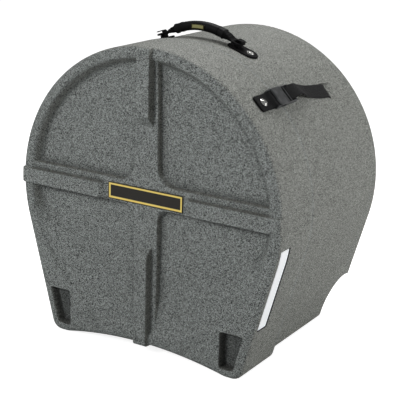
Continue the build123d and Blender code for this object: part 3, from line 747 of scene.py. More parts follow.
@dataclass
class Relief:
    """Heights moulded into a face, measured inwards from its plane in millimetres.

    Every wall is a smooth step across its width. A margin says how far outside the ring a step starts.
    """

    middle: float = 362.0
    radius: float = 306.0
    plateau: float = 7.5
    plateau_margin: float = 9.0
    plateau_wall: float = 6.0
    depth: float = 23.0
    recess_margin: float = 6.0
    bar: float = 26.5
    hub: float = 33.5
    shelf_top: float = 401.0
    shelf_bottom: float = 345.0
    upper_corner: float = 40.0
    lower_corner: float = 25.0
    wall: float = 12.0
    foot_wall: float = 90.0
    strip: float = 1.6
    strip_margin: float = 2.0
    strip_wall: float = 10.0
    strip_run: float = 9.0
    strip_side: float = 112.0
    strip_top: float = 522.0
    strip_bottom: float = 266.0
    rib_height: float = 11.0
    cross_height: float = 5.0
    rib_half: float = 18.6
    rib_crease: float = 1.4
    crest_round: float = 1.6
    end_round: float = 5.0
    rib_slope: float = math.tan(math.radians(7.0))
    end_slope: float = math.tan(math.radians(46.0))
    cross: float = 368.0
    upper_rib: float = 529.0
    lower_rib: float = 259.0
    left_rib: float = 103.0
    right_rib: float = 106.0
    pocket_depth: float = 23.6
    pocket_wall: float = 2.2
    pocket_inner: float = 203.0
    pocket_margin: float = 21.0
    pocket_bottom: float = 20.0
    pocket_top: float = 106.0
    pocket_round: float = 5.0
    foot_reach: float = 254.4
    # Strength of the painted shade at the wall feet and beside the ribs, and how much less of it the pocket floors
    # get.
    wall_shade: float = 0.45
    rib_shade: float = 0.8
    floor_light: float = 0.28

    def height(self, x: Array, z: Array) -> Array:
        """Plateau, recesses and pockets sink the surface; the ribs of the cross stand over it.

        Args:
            x: Places across the face.
            z: Their heights on it.
        Returns:
            How far each place lies behind the face's plane; less than 0 stands proud.
        """
        side, out = np.abs(x), np.hypot(x, z - self.middle)
        level = self.plateau * self._inside_ring(out, self.plateau_margin, self.plateau_wall)
        arm = np.maximum(np.maximum(side - self.strip_side, z - self.strip_top), self.strip_bottom - z)
        strip = smooth(arm / self.strip_run) * self._inside_ring(out, self.strip_margin, self.strip_wall)
        level = level + self.strip * strip
        recess = np.maximum(self._recess(side, z, out, True), self._recess(side, z, out, False))
        level = level + (self.depth - level) * recess
        for rib in self._ribs(x, z):
            level = soft_min(level, self.plateau + self.strip - rib, self.rib_crease)
        return level + self.pocket_depth * smooth(self._pocket(side, z) / self.pocket_wall)

    def shade(self, x: Array, z: Array) -> Array:
        """Painted shade: most in the pockets, a little along the foot of every wall, none elsewhere.

        Args:
            x: Places across the face.
            z: Their heights on it.
        Returns:
            Share of the full shade, from 0 to 1.
        """
        side, out = np.abs(x), np.hypot(x, z - self.middle)
        painted_shade = 0.0 * x
        # Painted shade along the foot of each recess wall, where the wall's shadow falls.
        for upper in (True, False):
            foot, spread = self._foot(side, z, upper), self._spread(z, upper)
            ring = (self.radius + self.recess_margin - out) / spread
            painted_shade = painted_shade + smooth((foot + 19.0) / 17.0) * smooth((2.0 - foot) / 2.0) * smooth(ring)
            painted_shade = painted_shade + smooth(1.9 - ring) * smooth(ring + 0.1) * smooth((1.0 - foot) / 4.0) * self.wall / spread
        upright = (side, np.maximum(z - self.upper_rib, self.lower_rib - z) - 4.0)
        level = (np.abs(z - self.cross), side - self.left_rib - 4.0)
        # Painted shade beside the ribs.
        for across, arm in (upright, level):
            beside = smooth((self.rib_half + 5.5 - across) / 4.0) * smooth((across - self.rib_half + 3.0) / 2.0)
            painted_shade = painted_shade + self.rib_shade * beside * smooth(arm / 6.0) * self._inside_ring(out, 8.0, 6.0)
        # Painted shade in the finger pockets, a little lighter on their floors.
        inside = self._pocket(side, z)
        pocket = smooth((inside + 0.5) / 1.5) * (1.0 - self.floor_light * smooth((inside - 2.0) / 3.0))
        return np.maximum(self.wall_shade * np.minimum(painted_shade, 1.0), pocket)

    def _inside_ring(self, out: Array, margin: float, width: Array | float) -> Array:
        """Step from 0 at a margin outside the ring to 1 at a width further in."""
        return smooth((self.radius + margin - out) / width)

    def _foot(self, side: Array, z: Array, upper: bool) -> Array:
        """Distance outside the top edge of the wall that the bar and the shelf give a quarter recess.

        Args:
            side: Distances from the middle.
            z: Heights on the face.
            upper: True for the upper recesses.
        Returns:
            The distances, less than 0 inside the recess; the bar narrows from the hub's width away from it.
        """
        shelf, far = (self.shelf_top, 700.0) if upper else (self.shelf_bottom, -360.0)
        edge = self.hub + (self.bar - self.hub) * (z - shelf) / (far - shelf)
        below, corner = (shelf - z, self.upper_corner) if upper else (z - shelf, self.lower_corner)
        return round_corner(edge - side, below, corner)

    def _spread(self, z: Array, upper: bool) -> Array:
        """Width of the wall at the ring: the lower recesses run out softly to the feet."""
        return self.wall + 0.0 * z if upper else self.wall + self.foot_wall * smooth((320.0 - z) / 150.0)

    def _recess(self, side: Array, z: Array, out: Array, upper: bool) -> Array:
        """Share of the full depth in a quarter recess."""
        inner = smooth((2.4 - self._foot(side, z, upper)) / 3.4)
        return inner * self._inside_ring(out, self.recess_margin, self._spread(z, upper))

    def _ribs(self, x: Array, z: Array) -> list[Array]:
        """Heights of the four ribs over the plateau: distance inside the foot over the draft, capped.

        Args:
            x: Places across the face.
            z: Their heights on it.
        Returns:
            One field of heights per rib, less than 0 away from it.
        """
        base = self.plateau + self.strip
        upright = self.rib_half - np.abs(x)
        level = self.rib_half - np.abs(z - self.cross)
        ends = [(upright, z - self.upper_rib, self.rib_height), (upright, self.lower_rib - z, self.rib_height),
                (level, -x - self.left_rib, self.cross_height), (level, x - self.right_rib, self.cross_height)]
        return [soft_min(soft_min(a / self.rib_slope, b / self.end_slope, self.end_round),
                         base + proud + 0.0 * x, self.crest_round) for a, b, proud in ends]

    def _pocket(self, side: Array, z: Array) -> Array:
        """Distance inside the finger pocket of a lower corner, its outer edge parallel to the leaning side.

        Args:
            side: Distances from the middle.
            z: Heights on the face.
        Returns:
            The distances, less than 0 outside the pocket.
        """
        reach = self.foot_reach + z * math.tan(LEAN) - self.pocket_margin / math.cos(LEAN)
        across = round_corner(self.pocket_inner - side, side - reach, 0.01)
        upright = np.maximum(self.pocket_bottom - z, z - self.pocket_top)
        return -round_corner(across, upright, self.pocket_round)


@dataclass
class MouldedShell:
    """A shell whose face is a relief on a fine grid, joined to a rounded edge and a skirt."""

    outline: Outline
    inside: Outline
    relief: Relief
    face_y: float
    open_y: float
    back_y: float
    edge: float = 13.0
    ring: float = 17.0
    rib_end: float = 9.0
    half_width: float = 345.0
    bottom: float = -5.0
    top: float = 705.0
    cell: float = 4.0

    def grid_lines(self) -> tuple[Array, Array]:
        """Upright and level lines of the face's grid, close together where ribs and bars have edges.

        Returns:
            Places of the upright lines and heights of the level ones.
        """
        right = [(14.6, 19.4, 0.6), (22.5, 38.5, 1.0), (102.0, 128.0, 1.6), (201.0, 206.0, 1.2),
                 (235.0, 264.0, 1.8)]
        left = [(-end, -start, step) for start, end, step in right]
        level = [(18.0, 24.0, 1.2), (102.0, 107.0, 1.2), (237.0, 261.0, 1.6), (339.0, 347.8, 1.1),
                 (348.4, 353.6, 0.6), (382.4, 387.6, 0.6), (396.0, 407.0, 1.2), (527.0, 551.0, 1.6)]
        upright = graded(-self.half_width, self.half_width, self.cell, left + right)
        return upright, graded(self.bottom, self.top, self.cell, level)

    def surface(self) -> Surface:
        """Face, edge, skirt, rim and inside as one closed surface.

        Grid points outside the ring, a line set in from the outline, are moved onto it. From there the
        profile runs straight out, round the edge by y = r - sqrt(r^2 - (r - d)^2), d being the distance
        to the outline, and back along the skirt.

        Returns:
            The surface with its shade.
        """
        line, normal = self.outline.points()
        ring_line = line - self.ring * normal
        x, z = self.grid_lines()
        flat = np.stack(np.meshgrid(x, z), -1).reshape(-1, 2)
        index = nearest(flat, ring_line)
        outside = ((flat - ring_line[index]) * normal[index]).sum(-1) > -0.25
        faces = grid_faces(len(z), len(x))
        faces = faces[(~outside[faces]).any(1)]
        count = np.bincount(faces.ravel(), minlength=len(flat))
        border = (count > 0) & (count < 4)
        flat = np.where(border[:, None], ring_line[index], flat)
        used = np.flatnonzero(count > 0)
        number = np.full(len(flat), -1)
        number[used] = np.arange(len(used))
        grid = at_level(flat, self.relief.height(*flat.T))[used]
        rim = np.flatnonzero(border)
        rim = rim[np.argsort(index[rim], kind="stable")]
        rows = self._band(line[index[rim]], normal[index[rim]])
        start, columns = len(grid), len(rim)
        strip = grid_faces(len(rows), columns, close_columns=True) + start
        first, follow = number[rim], np.roll(np.arange(columns), -1)
        seam = np.stack([first, np.arange(columns) + start, follow + start, first[follow]], -1)
        points = np.concatenate([grid, rows.reshape(-1, 3)]) + [0.0, self.face_y, 0.0]
        faces = np.concatenate([number[faces], seam, strip])[:, ::-1]
        shade = np.concatenate([self.relief.shade(grid[:, 0], grid[:, 2]), np.zeros(len(rows) * columns)])
        return Surface(points, faces, shade=shade)

    def _band(self, line: Array, normal: Array) -> Array:
        """From the ring out to the edge, along the skirt, round the rim and inside to a pole.

        Args:
            line: The outline's point beyond each point of the ring.
            normal: The outline's outward normals there.
        Returns:
            Rows of points, their levels still counted from the face.
        """
        rows = []
        for d in (14.5, 12.5, 10.5, 8.6, 6.8, 5.2, 3.8, 2.6, 1.6, 0.8, 0.25, 0.0):
            flat = line - d * normal
            edge, rib = (r - math.sqrt(r ** 2 - max(r - d, 0.0) ** 2) for r in (self.edge, self.rib_end))
            level = self.relief.height(*flat.T)
            proud = level < -0.5
            rows.append(at_level(flat, np.where(proud, np.minimum(level + rib, edge), np.maximum(level, 0.0) + edge)))
        start = rows[-1][:, 1]
        skirt, back = self.open_y - self.face_y, self.back_y - self.face_y
        rows += [at_level(line, start + (skirt - start) * share) for share in np.linspace(0.0, 1.0, 9)[1:]]
        inner = self.inside.points()[0]
        nearby = inner[nearest(line, inner)]
        rows += [at_level(nearby, level) for level in (skirt, skirt * 0.6 + back * 0.4, back)]
        rows.append(at_level(0.0 * line + [0.0, FACE_CENTRE], back))
        return np.stack(rows)


# ---------------------------------------------------------------- stations on the barrel

@dataclass(frozen=True)
class Station:
    """Flat patch that touches the barrel: x runs down the side, y to the back, z outwards."""

    angle: float
    y: float
    radius: float
    skew: float = 0.0

    def place(self, points: Array) -> Array:
        """Turns points of the patch about its own z by the skew and sets them on the barrel at its angle.

        Args:
            points: Points of the patch.
        Returns:
            The points in the case's own frame.
        """
        turn, skew = math.radians(self.angle), math.radians(self.skew)
        x = points[..., 0] * math.cos(skew) + points[..., 1] * math.sin(skew)
        y = -points[..., 0] * math.sin(skew) + points[..., 1] * math.cos(skew)
        out = self.radius + points[..., 2]
        return np.stack([out * math.sin(turn) + x * math.cos(turn), self.y + y,
                         BARREL_CENTRE + out * math.cos(turn) - x * math.sin(turn)], -1)


class Side(Enum):
    """Side of the case that a strap is on."""

    RIGHT = "right"
    LEFT = "left"

    def of(self, surface: Surface) -> Surface:
        """A right-hand surface on this side."""
        return surface if self is Side.RIGHT else surface.mirrored()

    def point(self, x: float, y: float, z: float) -> tuple[float, float, float]:
        """A right-hand point in metres on this side."""
        return ((x if self is Side.RIGHT else -x) * MM, y * MM, z * MM)


@dataclass
class Strap:
    """Webbing from the clip to the slot in the base, with the tab that anchors the buckle on the lid."""

    angle: float = 45.3
    skew: float = 5.9
    clip_rear: float = -54.0
    slot_y: float = 123.5
    half_width: float = 18.5
    thickness: float = 1.8
    bend_start: float = -46.0
    bend_end: float = 36.0
    tab_half: float = 19.5
    tab_thickness: float = 1.6
    tab_front: float = -193.0
    tab_seat: float = 0.35
    layer_gap: float = 0.12
    corner_cut: float = 4.0
    bar_y: float = -134.0
    bar_height: float = 5.2
    bar_clearance: float = 3.2

    @staticmethod
    def tape(thick: float) -> Array:
        """Closed section of a tape: flat on both sides with round edges, z = t/2 * sqrt(1 - |x|^24).

        Args:
            thick: The tape's thickness t.
        Returns:
            Points of the section, its half width being 1.
        """
        across = np.cos(np.linspace(0.0, math.pi, 15))
        upper = np.stack([across, thick / 2 * (1.0 - np.abs(across) ** 24) ** 0.5], -1)
        return np.concatenate([upper, upper[-2:0:-1] * [1.0, -1.0]])

    def station(self) -> Station:
        """Patch on the base under the strap, turned so that its y runs from the clip to the slot.

        Returns:
            The patch, with its middle halfway along the strap.
        """
        middle = (self.slot_y + self.clip_rear) / 2
        shift = (self.slot_y - self.clip_rear) * math.tan(math.radians(self.skew))
        return Station(self.angle + math.degrees(shift / 2 / BASE_RADIUS), middle, BASE_RADIUS, self.skew)

    def webbing(self) -> Surface:
        """Strap: out of the clip, over a slanting crest, flat along the barrel and down into the slot.

        The tape runs between two edges, each a smoothed run of across, along and height over the patch;
        the lower edge crests later and higher, so the loose stretch is twisted as it hangs.

        Returns:
            The right-hand strap.
        """
        start, end = ([(self.half_width, y, z) for y, z in run] for run in (
            ((-77.5, 10.2), (-72.0, 9.4)),
            ((98.0, 1.25), (110.0, -0.2), (121.0, -3.9), (123.4, -6.4), (self.slot_y, -10.0), (self.slot_y, -13.0))))
        upper = [(18.5, -63.0, 13.5), (18.9, -53.0, 17.6), (19.3, -43.0, 19.6), (19.4, -33.0, 18.0),
                 (19.4, -21.0, 14.0), (19.6, -6.0, 10.2), (19.6, 9.0, 6.4), (19.0, 34.0, 2.4), (18.0, 66.0, 1.3)]
        lower = [(17.2, -64.0, 13.6), (15.4, -54.0, 19.4), (13.2, -43.0, 24.0), (12.4, -32.0, 25.0),
                 (13.2, -13.0, 17.0), (13.2, 3.0, 10.0), (13.2, 19.0, 4.6), (15.4, 45.0, 1.5), (18.6, 72.0, 1.3)]
        station = self.station()
        high, low = (smooth_path(start + run + end) * [way, 1.0, 1.0] - [0.0, station.y, 0.0]
                     for run, way in ((upper, -1.0), (lower, 1.0)))
        half = np.linalg.norm(low - high, axis=1) / 2
        sections = sized(self.tape(self.thickness), half, 1.0)
        return carried(sections, (high + low) / 2, (low - high) / (2 * half[:, None])).moved(station.place)

    def tab(self) -> Surface:
        """Anchor tab: lower layer, loop round the buckle's bar and upper layer, with the front corners cut.

        Returns:
            The right-hand tab.
        """
        thick, centre = self.tab_thickness, self.bar_height
        radius = self.bar_clearance + thick / 2
        low = self.tab_seat + thick / 2
        high = low + thick + self.layer_gap
        loop = [self.bar_y, centre] + radius * directions(np.linspace(-math.pi / 2, math.pi / 2, 15))
        bottom = [(y, low) for y in (self.tab_front, -189.0, -180.0, -160.0, -143.0)]
        top = [(-139.5, centre + radius - 0.7), (-144.5, high + 1.4)]
        top += [(y, high) for y in (-150.0, -165.0, -180.0, -189.0, self.tab_front)]
        y, z = np.concatenate([bottom, loop, top]).T
        half = np.minimum(self.tab_half, self.tab_half - self.corner_cut + (y - self.tab_front))
        tape = carried(sized(self.tape(thick), half, 1.0), np.stack([0.0 * y, y, z], -1), SIDEWAYS)
        return tape.moved(Station(self.angle, 0.0, LID_RADIUS).place)

    def build(self, side: Side, webbing: Finish, tab: Finish) -> None:
        """Makes the strap and the tab of one side.

        Args:
            side: The side.
            webbing: Finish of the strap.
            tab: Finish of the tab.
        """
        strap = make_piece(f"strap_webbing_{side.value}", side.of(self.webbing()), webbing, None,
                           (f"strap_{side.value}",))
        patch = self.station()
        front, rear = (patch.place(np.array([0.0, y - patch.y, 0.0])) for y in (self.bend_start, self.bend_end))
        side.point(*front)
        side.point(*rear)
        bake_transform(strap)
        make_piece(f"tab_webbing_{side.value}", side.of(self.tab()), tab, "lid",
                   (f"anchor_tab_{side.value}",))


# ---------------------------------------------------------------- handle

@dataclass
class Handle:
    """Moulded grip on a core strip whose end rings hook over the two mounting plates."""

    y: float = -30.0
    half_span: float = 65.0
    half_height: float = 11.5
    half_depth: float = 13.5
    plate_angle: float = 19.1
    plate_round: float = 22.0
    plate_run: float = 16.0
    ring_height: float = 9.3
    ring_thickness: float = 5.0
    ring_end: float = -4.0
    ring_length: float = 27.0
    ring_middle: float = 14.75
    ring_inner: float = 10.5
    ring_half: float = 16.5
    hole_half: tuple[float, float] = (4.75, 11.5)

    def plate_station(self) -> Station:
        """Patch that the right-hand plate lies on; x runs outwards, away from the grip."""
        return Station(self.plate_angle, self.y, BASE_RADIUS)

    def on_arc(self, turn: Array | float) -> Array:
        """Points of the grip's centre line at angles from its middle."""
        return np.stack([GRIP_RADIUS * np.sin(turn), 0.0 * turn + self.y,
                         GRIP_CENTRE + GRIP_RADIUS * np.cos(turn)], -1)

    def grip(self) -> Surface:
        """Sleeve along the arc: a rounded section with two ridges at each collar.

        Returns:
            The sleeve.
        """
        reach = math.asin(self.half_span / GRIP_RADIUS)
        turn = np.linspace(-reach, reach, 161)
        along = np.abs(turn) / reach
        ridges = sum(np.exp(-((along - place) / 0.018) ** 4) for place in (0.72, 0.955))
        swell = 0.915 + 0.012 * smooth((along - 0.72) / 0.03) + 0.07 * ridges
        swell = swell * (1.0 - 0.16 * smooth((along - 0.975) / 0.025))
        sections = sized(rounded_section(2.7, 48), self.half_depth * swell, self.half_height * swell)
        return carried(sections, self.on_arc(turn), LENGTHWISE)

    def neck(self) -> Surface:
        """Core from inside the grip to the ring: it widens out of the collar and has cross ridges.

        Returns:
            The right-hand neck.
        """
        middle = self.ring_height + self.ring_thickness / 2
        ring_start = self.plate_station().place(np.array([self.ring_end - self.ring_length, 0.0, middle]))
        turn, lean = math.asin(self.half_span / GRIP_RADIUS), math.radians(self.plate_angle)
        inside = [self.on_arc(turn * share) for share in (0.8, 0.95)]
        leave = inside[1] + 0.55 * (ring_start - inside[1]) + [0.6, 0.0, 0.6]
        ahead = np.array([math.cos(lean), 0.0, -math.sin(lean)])
        path = smooth_path([*inside, leave, ring_start, ring_start + 6.0 * ahead])
        share, step = np.linspace(0.0, 1.0, 60), distances(path)
        path = np.stack([np.interp(share * step[-1], step, path[:, k]) for k in range(3)], -1)
        width = 10.0 + 2.6 * smooth((share - 0.12) / 0.1) + 1.6 * smooth((share - 0.7) / 0.3)
        ridged = smooth((share - 0.25) / 0.1) * smooth((0.8 - share) / 0.1)
        ridge = 0.6 * np.maximum(np.sin(share * 38.0), 0.0) * ridged
        height = 7.2 - 4.8 * smooth((share - 0.35) / 0.65) + ridge
        return carried(sized(rounded_section(4.0, 40), width, height), path, LENGTHWISE)

    def ring(self) -> Surface:
        """Flat ring: a rounded section between the outlines of its hole and of its outside.

        Both outlines are superellipses met by the same rays from the middle of the hole.

        Returns:
            The right-hand ring.
        """
        ray = directions(turns(96))

        def reach(half: Array, power: float) -> Array:
            """Distance to a superellipse along each ray."""
            return (np.abs(ray / half) ** power).sum(-1) ** (-1.0 / power)

        hole = reach(np.array(self.hole_half), 6.0)
        inwards = np.where(ray[:, 0] > 0, self.ring_middle, self.ring_inner)
        outer = reach(np.stack([inwards, np.full(len(ray), self.ring_half)], -1), 5.0)
        spin = rounded_section(3.2, 24)
        out = (outer + hole) / 2 + (outer - hole) / 2 * spin[:, :1]
        flat = out[..., None] * ray + [self.ring_end - self.ring_middle, 0.0]
        level = self.ring_height + self.ring_thickness / 2 * (1.0 + np.broadcast_to(spin[:, 1:], out.shape))
        points = np.concatenate([flat, level[..., None]], -1).reshape(-1, 3)
        faces = grid_faces(*out.shape, close_rows=True, close_columns=True)
        return Surface(points, faces).moved(self.plate_station().place)

    def plate(self) -> Surface:
        """Stadium with a rounded edge and a raised rim; it follows the barrel by sinking x^2 / 2r.

        Returns:
            The plate on its own patch.
        """
        turn = turns(120)
        way = directions(turn + math.pi / len(turn))
        ends = np.sign(way) * [self.plate_run, 0.0]
        profile = [(16.0, 0.35), (1.0, 0.35), (0.0, 1.0), (0.0, 2.0), (0.3, 3.1), (1.0, 3.7), (2.2, 3.9),
                   (3.4, 3.8), (4.2, 3.3), (5.2, 3.15), (12.0, 3.15), (21.9, 3.15)]
        rows = [np.column_stack([ends + (self.plate_round - inset) * way, np.full(len(turn), high)])
                for inset, high in profile]
        points = np.stack(rows + [rows[-1] * [1.0, 0.0, 1.0]])
        points[..., 2] -= points[..., 0] ** 2 / (2.0 * BASE_RADIUS)
        return Surface(points.reshape(-1, 3), grid_faces(*points.shape[:2], close_columns=True))

    def hook(self) -> Surface:
        """Leg through the ring's hole with a roof over the ring's end bar, and the saddle below it.

        Returns:
            The hook on the plate's patch.
        """
        line = smooth_path([(-18.5, 1.5), (-18.5, 12.0), (-18.3, 18.4), (-15.0, 19.5), (-6.0, 19.5),
                            (-1.5, 19.4), (-0.5, 19.0)])
        thick = 2.0 - 1.1 * smooth((line[:, 0] + 18.0) / 4.0)
        wide = 9.0 - 2.5 * smooth((line[:, 0] + 10.0) / 10.0)
        leg = carried(sized(rounded_section(4.5, 32), wide, thick), at_level(line, 0.0), LENGTHWISE)
        rise = np.array([[-12.8, 0.0, z] for z in (1.5, 5.0, 8.5, 9.0)])
        taper = np.array([1.0, 1.0, 1.0, 0.9])
        saddle = carried(sized(rounded_section(5.0, 32), 9.8 * taper, 3.8 * taper), rise, LENGTHWISE)
        return joined([leg, saddle])

    def build(self, rubber: Finish, plastic: Finish) -> None:
        """Makes the grip, the core's visible ends and the two plates.

        Args:
            rubber: Finish of the grip.
            plastic: Finish of the core and the plates.
        """
        make_piece("grip_sleeve", self.grip(), rubber, "handle", ("handle_grip",))
        end = joined([self.neck(), self.ring()])
        make_piece("core_ends", joined([end, end.mirrored()]), plastic, "handle", ("handle_core",))
        whole = joined([self.plate(), self.hook()]).moved(self.plate_station().place)
        for side in Side:
            make_piece(f"mounting_plate_{side.value}", side.of(whole), plastic, "base",
                       (f"handle_plate_{side.value}",))


# ---------------------------------------------------------------- foam

@dataclass
class WheelArch:
    """Round hollow across a lower rear corner of the base: a cylinder along X."""

    inner: float = 197.0
    y: float = 212.2
    z: float = 40.0
    radius: float = 75.5

    def rear(self, x: Array, z: Array, growth: float, far: float) -> Array:
        """How far back a lining reaches at points of its section before it meets the grown hollow.

        Args:
            x: Places across the section.
            z: Their heights.
            growth: How much larger than the hollow the cut is.
            far: Where the lining ends elsewhere.
        Returns:
            The rear end at each place.
        """
        radius = self.radius + growth
        front = self.y - np.sqrt(np.maximum(radius ** 2 - (z - self.z) ** 2, 0.0))
        beside = (np.abs(x) > self.inner - growth) & (z < self.z + radius)
        return np.where(beside, np.minimum(front, far), far)

    def notched(self, line: Array, normal: Array, growth: float) -> tuple[Array, Array]:
        """A section with both corners cut out square round the grown hollow.

        Three fifths of a corner's points are spread over the level side of its notch and the others over
        the upright one.

        Args:
            line: Points of the section.
            normal: Their outward normals.
            growth: How much larger than the hollow the notch is.
        Returns:
            The changed points and normals.
        """
        line, normal = line.copy(), normal.copy()
        edge, top = self.inner - growth, self.z + self.radius + growth
        for way in (1.0, -1.0):
            zone = np.flatnonzero((line[:, 0] * way > edge) & (line[:, 1] < top))[::int(way)]
            cut = len(zone) * 3 // 5 if way > 0 else len(zone) - len(zone) * 2 // 5
            level, upright = zone[:cut], zone[cut:]
            start, end = line[zone[0]], line[zone[-1]]
            share = np.linspace(0.0, 1.0, len(level))[:, None]
            line[level] = [start[0], top] + share * [way * edge - start[0], 0.0]
            share = np.linspace(0.0, 1.0, len(upright))[:, None]
            line[upright] = [way * edge, top] + share * [0.0, end[1] - top]
            normal[level], normal[upright] = [0.0, -1.0], [way, 0.0]
        return line, normal


def layered(outer: Array, inner: Array, keep: Array) -> Surface:
    """Two grids of points, closed across their columns, with their kept cells joined along all edges.

    Args:
        outer: Rows of points of the outer layer.
        inner: The same for the inner layer.
        keep: True for each cell that is kept.
    Returns:
        The closed surface, with walls round every hole and along both ends.
    """
    rows, columns = outer.shape[:2]
    cells = grid_faces(rows, columns, close_columns=True)[keep.ravel()]
    edges = np.concatenate([cells[:, [k, (k + 1) % 4]] for k in range(4)])
    size = rows * columns
    single = ~np.isin(edges[:, 0] * size + edges[:, 1], edges[:, 1] * size + edges[:, 0])
    start, end = edges[single].T
    walls = np.stack([end, start, start + size, end + size], -1)
    faces = np.concatenate([cells, cells[:, ::-1] + size, walls])
    points = np.concatenate([outer.reshape(-1, 3), inner.reshape(-1, 3)])
    used, faces = np.unique(faces, return_inverse=True)
    return Surface(points[used], faces.reshape(-1, 4))


@dataclass(frozen=True)
class Window:
    """Opening in the sleeve: angles from the top in degrees, places along Y and the cells' width round it."""

    low: float
    high: float
    start: float
    end: float
    cell: float

    def holds(self, angle: Array, y: Array) -> Array:
        """True for the places that lie in the opening."""
        return (angle > self.low) & (angle < self.high) & (y > self.start) & (y < self.end)


@dataclass
class FoamLining:
    """Foam pads against the face and the back, and the sleeve inside the barrel."""

    arch: WheelArch
    thickness: float = 6.0
    pad_growth: float = 7.5
    sleeve_growth: float = 4.8
    gap: float = 0.4
    lid_faces: tuple[float, float] = (-221.7, -211.7)
    back_faces: tuple[float, float] = (211.7, 221.7)
    sleeve_ends: tuple[float, float] = (-145.2, 211.4)
    widest_cell: float = 9.0
    rivets: Window = Window(20.39, 24.21, -41.0, -19.0, 5.5)
    slot: Window = Window(43.0, 53.9, 89.0, 158.0, 7.0)

    def pad(self, section: Outline, front: float, rear: float, notched: bool) -> Surface:
        """Foam disc with a softly waved face and a rounded edge.

        Rings run in from the outline; at a place s inside it half the thickness is h * sqrt(1 - (1 - s/5)^2).

        Args:
            section: Outline that the disc fills.
            front: Place of its front face.
            rear: Place of its rear face.
            notched: Cuts the corners out round the wheel arches.
        Returns:
            The disc.
        """
        line, normal = section.points()
        if notched:
            line, normal = self.arch.notched(line, normal, self.pad_growth)
        line, normal = line[::6], normal[::6]
        middle, half, centre = np.array([0.0, FACE_CENTRE]), (rear - front) / 2, (front + rear) / 2
        flat = line - (12.0 + self.gap) * normal
        layers = []
        for way in (1.0, -1.0):
            side = [at_level(line - (self.gap + s) * normal,
                             centre + way * half * (1.0 - (1.0 - min(s / 5.0, 1.0)) ** 2) ** 0.5)
                    for s in (0.0, 0.6, 2.0, 5.0, 12.0)]
            for share in np.linspace(0.96, 0.0, 22):
                p = middle + (flat - middle) * share
                wave = 0.3 * np.sin(p[:, 0] / 41.0) * np.sin(p[:, 1] / 37.0) - 0.3 - 0.5 * (1.0 - share)
                side.append(at_level(p, centre + way * (half + wave)))
            layers.append(side)
        rows = np.stack(layers[0][::-1] + layers[1][1:])
        return Surface(rows.reshape(-1, 3), grid_faces(*rows.shape[:2], close_columns=True))

    def _columns(self, section: Outline, line: Array) -> Array:
        """Chooses the section's points for the sleeve, closer together at the openings and the notches.

        Args:
            section: Outline of the sleeve.
            line: Its points.
        Returns:
            Numbers of the chosen points, the left-hand ones mirrored.
        """
        half_count = len(line) // 2
        bands = [(math.radians(w.low) * section.radius, math.radians(w.high) * section.radius, w.cell)
                 for w in (self.rivets, self.slot)]
        length = section.spacing * half_count
        picks = np.unique((graded(0.0, length, self.widest_cell, bands) / length * half_count).round().astype(int))
        picks = picks[(picks > 0) & (picks < half_count)]
        beside = np.abs(line[:half_count, 0]) > self.arch.inner - self.sleeve_growth
        corners = np.flatnonzero(np.diff(beside.astype(int)))
        picks = np.unique(np.concatenate([picks, corners, corners + 1, [0, half_count]]))
        return np.concatenate([picks, len(line) - picks[-2:0:-1]])

    def sleeve(self, section: Outline, front: float, rear: float) -> Surface:
        """Foam sleeve with a rounded front edge, cut back at the wheel arches and open at slots and rivets.

        Args:
            section: Outline that the sleeve lines.
            front: Place of its front edge.
            rear: Place of its rear edge.
        Returns:
            The sleeve.
        """
        line, normal = section.points()
        picks = self._columns(section, line)
        line, normal = line[picks], normal[picks]
        end = self.arch.rear(line[:, 0], line[:, 1], self.sleeve_growth, rear)
        rivets, slot = self.rivets, self.slot
        y = np.concatenate([front + np.array([0.0, 0.5, 1.5, 3.0, 5.0]), np.linspace(front + 8.0, rivets.start, 12),
                            [-30.0, rivets.end], np.linspace(-8.0, slot.start, 11), [112.0, 135.0, slot.end]])
        rows = np.minimum(y[:, None], end[None] - 4.0 + 4.0 * (y[:, None] / slot.end).clip(0, 1))
        tail = end[None] + (rows[-1] - end)[None] * np.linspace(0.8, 0.0, 5)[:, None]
        rows = np.concatenate([rows, tail])
        depth = np.clip((rows - front) / 4.0, 0.0, 1.0)
        thin = self.thickness / 2 * (1.0 - np.sqrt(1.0 - (1.0 - depth) ** 2))
        wave = 0.4 * np.abs(np.sin(rows / 33.0) * np.sin(np.arange(len(line)) / 4.0))
        outer, inner = (at_level(line - inset[..., None] * normal, rows)
                        for inset in (thin, self.thickness - thin - wave))
        across, up = (line + np.roll(line, -1, 0)).T / 2
        angle = np.abs(np.degrees(np.arctan2(across, up - BARREL_CENTRE)))
        middle_y = (rows[:-1] + rows[1:]) / 2
        return layered(outer, inner, ~(rivets.holds(angle, middle_y) | slot.holds(angle, middle_y)))

    def build(self, foam: Finish) -> None:
        """Makes the two pads and the sleeve.

        Args:
            foam: Their finish.
        """
        lid_section = Outline(radius=332.5, floor=20.5, rise=10.4, corner=20.5)
        back_section = Outline(radius=327.5, floor=25.5, rise=10.4, corner=15.5)
        sleeve_section = Outline(radius=330.2, floor=22.8, rise=10.4, corner=18.2)
        for name, surface, body, node in (
                ("lid_pad", self.pad(lid_section, *self.lid_faces, False), "lid", "lid_foam_pad"),
                ("back_pad", self.pad(back_section, *self.back_faces, True), "base", "base_foam_pad"),
                ("barrel_sleeve", self.sleeve(sleeve_section, *self.sleeve_ends), "base", "barrel_liner")):
            make_piece(name, surface, foam, body, (node,))


# ---------------------------------------------------------------- studio

